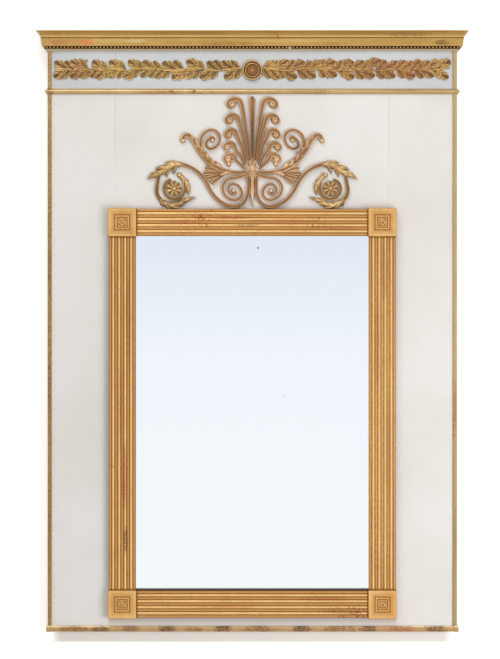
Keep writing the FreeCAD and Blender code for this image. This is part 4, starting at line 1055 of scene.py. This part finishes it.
def reeded_rail(node, outer, turn, start, end, upright):
    """Pull the section along the rail. turn, 1 or -1, is the way inward from its outer edge."""
    bm = new_carving()
    proud = bm.verts.layers.float.get("proud")
    profile = reed_profile()
    stations = [start + d for d in END_STEPS] + [start + (end - start) * k / 12 for k in range(1, 12)]
    stations += [end - d for d in reversed(END_STEPS)]

    def at(across, depth, along):
        side_place = outer + turn * across
        return (side_place, -depth, along) if upright else (along, -depth, side_place)

    first = [bm.verts.new(at(across, low, start)) for across, low, full, high in profile]
    ring = [bm.edges.new(pair) for pair in zip(first, first[1:] + first[:1])]
    start_ring = ring
    current = first
    for along in stations[1:]:
        near = min(along - start, end - along, END_STEPS[-1]) / END_STEPS[-1]
        share = sqrt(1 - (1 - near) ** 2)
        grown = bmesh.ops.extrude_edge_only(bm, edges=ring)["geom"]
        ring = [item for item in grown if isinstance(item, bmesh.types.BMEdge)]
        fresh = {item for item in grown if isinstance(item, bmesh.types.BMVert)}
        following = []
        for vert, (across, low, full, high) in zip(current, profile):
            ends = (edge.other_vert(vert) for edge in vert.link_edges)
            new = next(end_vert for end_vert in ends if end_vert in fresh)
            new.co = at(across, low + (full - low) * share, along)
            new[proud] = high * share
            following.append(new)
        current = following
    bmesh.ops.contextual_create(bm, geom=start_ring)
    bmesh.ops.contextual_create(bm, geom=ring)
    set_in_place(bm, f"{node}_reeds", reed_gold, 0.0, node, sharp=40)


half = BLOCK_SIZE / 2
for name, side in (("left", -1), ("right", 1)):
    reeded_rail(f"frame_{name}_stile", side * (BLOCK_OUT + RAIL_OUT), -side, BLOCK_UP["bottom"] + half,
                BLOCK_UP["top"] - half, True)
for name, side in (("bottom", -1), ("top", 1)):
    reeded_rail(f"frame_{name}_rail", BLOCK_UP[name] + side * RAIL_OUT, -side, half - BLOCK_OUT,
                BLOCK_OUT - half, False)

# %% [markdown]
# ## Corner blocks
# The square blocks hide the joints of the rails. Each has a flat border, a raised square and a sunk
# square with a small carved curl. A cube whose front face is inset again and again gives the steps, and
# every inset sets how far the next step goes in or out.

# %% Corner blocks
# Each step: (thickness, how far it goes in, proud)
# The proud column paints raised steps pale and sunk ones dark: painted highlight and painted shade.
BLOCK_STEPS = ((1.2, 0.0, 0.9), (15.4, 0.0, 0.62), (1.2, -1.6, 0.3), (1.0, 0.0, 0.35), (1.2, 1.6, 0.85),
    (3.6, 0.0, 0.7), (1.2, -1.8, 0.32), (1.0, 0.0, 0.4), (1.2, 1.8, 0.85), (2.4, 0.0, 0.6),
    (0.8, -1.6, 0.4))


def corner_block(node, side, up):
    """A cube with an eased front edge, its steps, and the curl on the last of them."""
    bm = new_carving()
    proud = bm.verts.layers.float.get("proud")
    cube = bmesh.ops.create_cube(bm, size=1.0)
    for vert in cube["verts"]:
        vert.co = (vert.co.x * BLOCK_SIZE, (vert.co.y - 0.5) * BLOCK_THICK, vert.co.z * BLOCK_SIZE)
        vert[proud] = 0.5
    edges = [edge for edge in bm.edges if all(vert.co.y < -20 for vert in edge.verts)]
    bmesh.ops.bevel(bm, geom=edges, offset=0.8, segments=2, profile=0.5, affect="EDGES", material=-1)
    front = min(bm.faces, key=lambda face: face.calc_center_median().y)
    for thick, out, high in BLOCK_STEPS:
        bmesh.ops.inset_region(bm, faces=[front], thickness=thick, depth=0.0, use_even_offset=True)
        for vert in front.verts:
            vert.co.y -= out
            vert[proud] = high
    level = -front.calc_center_median().y
    curl = Line([(8.2, -6), (0, 8.0), (-7.6, 0), (0, -6.4), (5.2, 0), (0, 4.2), (-3.2, 0),
                 (0, -1.8)], 80)
    for vert in carve(bm, curl, tapered(1.5, 1.3), even(2.8), rounded, (60, 6)):
        vert.co.y -= level - 0.2
    for vert in bm.verts:
        vert.co.x += side * BLOCK_OUT
    set_in_place(bm, f"{node}_carving", reed_gold, up, node, sharp=30)


for level_name, up in BLOCK_UP.items():
    for side_name, side in (("left", -1), ("right", 1)):
        corner_block(f"{level_name}_{side_name}_corner_block", side, up)

# %% [markdown]
# ## Rows of pearls
# Under the cornice runs a strip of small pearls. They are half balls with few faces, because
# there are over a hundred, set on a plain fillet that is dark between them, a painted shade.


# %% Pearls
FRONT_COUNT, RETURN_COUNT, RETURN_PITCH = 116, 4, 11
PEARL_WIDE, PEARL_RISE = 6.2, 4
FILLET_OUT, FILLET_THICK = 587, 7       # the fillet's end from the middle, and its thickness
FILLET_LOW, FILLET_HIGH = 1651.5, 1658


def pearl_strip(bm, low, high):
    """The fillet behind a row, as a box between two corners."""
    # The fillet has no proud, so the gilding paints it dark: painted shade between the pearls.
    cube = bmesh.ops.create_cube(bm, size=1.0)
    for vert in cube["verts"]:
        vert.co = [a + (b - a) * (c + 0.5) for a, b, c in zip(low, high, vert.co)]


def pearl(bm, x, y, sideways):
    """Half a ball that faces the front, or the side where sideways is -1 or 1."""
    proud = bm.verts.layers.float.get("proud")
    half, level = PEARL_WIDE / 2, (FILLET_LOW + FILLET_HIGH) / 2
    ball = bmesh.ops.create_uvsphere(bm, u_segments=8, v_segments=6, radius=1.0)
    for vert in ball["verts"]:
        out, across, up = max(vert.co.z, -0.2), vert.co.x, vert.co.y
        vert[proud] = 0.1 + 0.95 * max(out, 0.0) ** 1.5
        if sideways:
            vert.co = (x + sideways * out * PEARL_RISE, y + across * half, level + up * half)
        else:
            vert.co = (x + across * half, y - out * PEARL_RISE, level + up * half)


def pearls():
    """The front row, and a piece of it on each side of the case."""
    bm = new_carving()
    pearl_strip(bm, (-FILLET_OUT, -FILLET_THICK, FILLET_LOW), (FILLET_OUT, 0, FILLET_HIGH))
    for k in range(FRONT_COUNT):
        pearl(bm, -FILLET_OUT + 2 * FILLET_OUT * (k + 0.5) / FRONT_COUNT, -FILLET_THICK, 0)
    set_in_place(bm, "pearl_row_front_carving", pearl_gold, 0.0, "pearl_row_front")
    bm = new_carving()
    for side in (-1, 1):
        ends = sorted((side * FILLET_OUT, side * (FILLET_OUT - FILLET_THICK)))
        pearl_strip(bm, (ends[0], 0, FILLET_LOW), (ends[1], FACE, FILLET_HIGH))
        for k in range(RETURN_COUNT):
            pearl(bm, side * FILLET_OUT, RETURN_PITCH * (k + 0.5), side)
    set_in_place(bm, "pearl_row_returns_carving", pearl_gold, 0.0, "pearl_row_returns")


pearls()

# %% [markdown]
# ## Wall and floor
# The photograph shows the mirror on a white wall with a thin shadow under it. The wall is one sheet
# just behind the case: the camera sees it from the front only, and no other ray meets it, so the back
# of the case stays lit in other views. It glows, so it stays white, but not in a band under the case:
# there the wall is darker, a painted shadow that deepens the lamps' thin one.


# %% Stage
SHEET_HALF, SHEET_END, FLOOR_AT, WALL_AT = 3, 3.2, -0.6, 0.001      # metres
# The band without glow is a painted shadow on the wall under the case.
SHADE_FROM, SHADE_FULL, SHADE_TOP = -0.044, -0.034, 0.002           # the band without glow, by height
SHADE_WIDE, SHADE_END = 0.545, 0.59                                 # and across, from the middle


def sheet_material(name, glow, front_only):
    """A white sheet for the camera alone, whose glow stops in the band under the case to paint a shadow
    there.
    """
    material, tree, shader, where = new_material(name, roughness=0.9)
    place = parts_of(tree, where)
    far = sums(tree, "ABSOLUTE", place["X"])
    below = product(tree, rise_between(tree, place["Z"], SHADE_FROM, SHADE_FULL),
                    sums(tree, "LESS_THAN", place["Z"], SHADE_TOP))
    painted_shadow = product(tree, below, rest_of(tree, rise_between(tree, far, SHADE_WIDE, SHADE_END)))
    plug(tree, shader, {"Base Color": (0.80, 0.765, 0.71, 1), "Specular IOR Level": 0.0,
                        "Emission Color": (1, 1, 1, 1),
                        "Emission Strength": sums(tree, "MULTIPLY_ADD", painted_shadow, -glow, glow)})
    seen = add(tree, "LightPath").outputs["Is Camera Ray"]
    if front_only:
        seen = product(tree, seen, rest_of(tree, add(tree, "NewGeometry").outputs["Backfacing"]))
    clear = add(tree, "BsdfTransparent")
    choose = add(tree, "MixShader", {0: seen, 1: clear.outputs[0], 2: shader.outputs[0]})
    plug(tree, tree.nodes["Material Output"], {"Surface": choose.outputs[0]})
    return material


def stage_sheet(name, corner, beside, above, material):
    """A flat sheet from one corner to the two next to it."""
    bm = bmesh.new()
    made = bmesh.ops.create_grid(bm, x_segments=1, y_segments=1, size=0.5)
    for vert in made["verts"]:
        a, b = vert.co.x + 0.5, vert.co.y + 0.5
        vert.co = [p + (q - p) * a + (r - p) * b for p, q, r in zip(corner, beside, above)]
    sheet = hand_over(bm, name, material)
    return sheet


wall = stage_sheet("studio_wall", (-SHEET_HALF, WALL_AT, FLOOR_AT), (SHEET_HALF, WALL_AT, FLOOR_AT),
                   (-SHEET_HALF, WALL_AT, SHEET_END), sheet_material("wall_white", 0.5, True))
floor = stage_sheet("studio_floor", (-SHEET_HALF, -SHEET_END, FLOOR_AT),
                    (SHEET_HALF, -SHEET_END, FLOOR_AT), (-SHEET_HALF, SHEET_END, FLOOR_AT),
                    sheet_material("floor_white", 0.5, False))
print("stage:", wall.name, floor.name)

# %% [markdown]
# ## The surroundings
# The camera sees plain white. Diffuse light comes from a soft white room. What the mirror shows is a
# made-up pale blue room, brighter towards the floor, and the gold takes its shine from the same.


# %% World
def make_world():
    """White for the camera, a pale blue room for mirror and gold, and soft white for the rest."""
    world = bpy.data.worlds.new("studio_room")
    bpy.context.scene.world = world
    world.use_nodes = True
    tree = world.node_tree
    up = parts_of(tree, add(tree, "TexCoord").outputs["Generated"])["Z"]
    share = add(tree, "MapRange", {"Value": up, "From Min": -0.15, "From Max": 0.09})
    ramp = add(tree, "ValToRGB", {"Fac": share.outputs["Result"]})
    stops = ramp.color_ramp.elements
    stops[0].color, stops[1].color = chart(246, 251, 254), chart(218, 229, 241)
    stops.new(0.55).color = chart(243, 247, 253)
    path = add(tree, "LightPath")
    room = blend(tree, path.outputs["Is Glossy Ray"], (0.62, 0.62, 0.62, 1), ramp.outputs["Color"])
    plug(tree, tree.nodes["Background"],
         {"Color": blend(tree, path.outputs["Is Camera Ray"], room, (1, 1, 1, 1))})
    return world


print("world:", make_world().name)
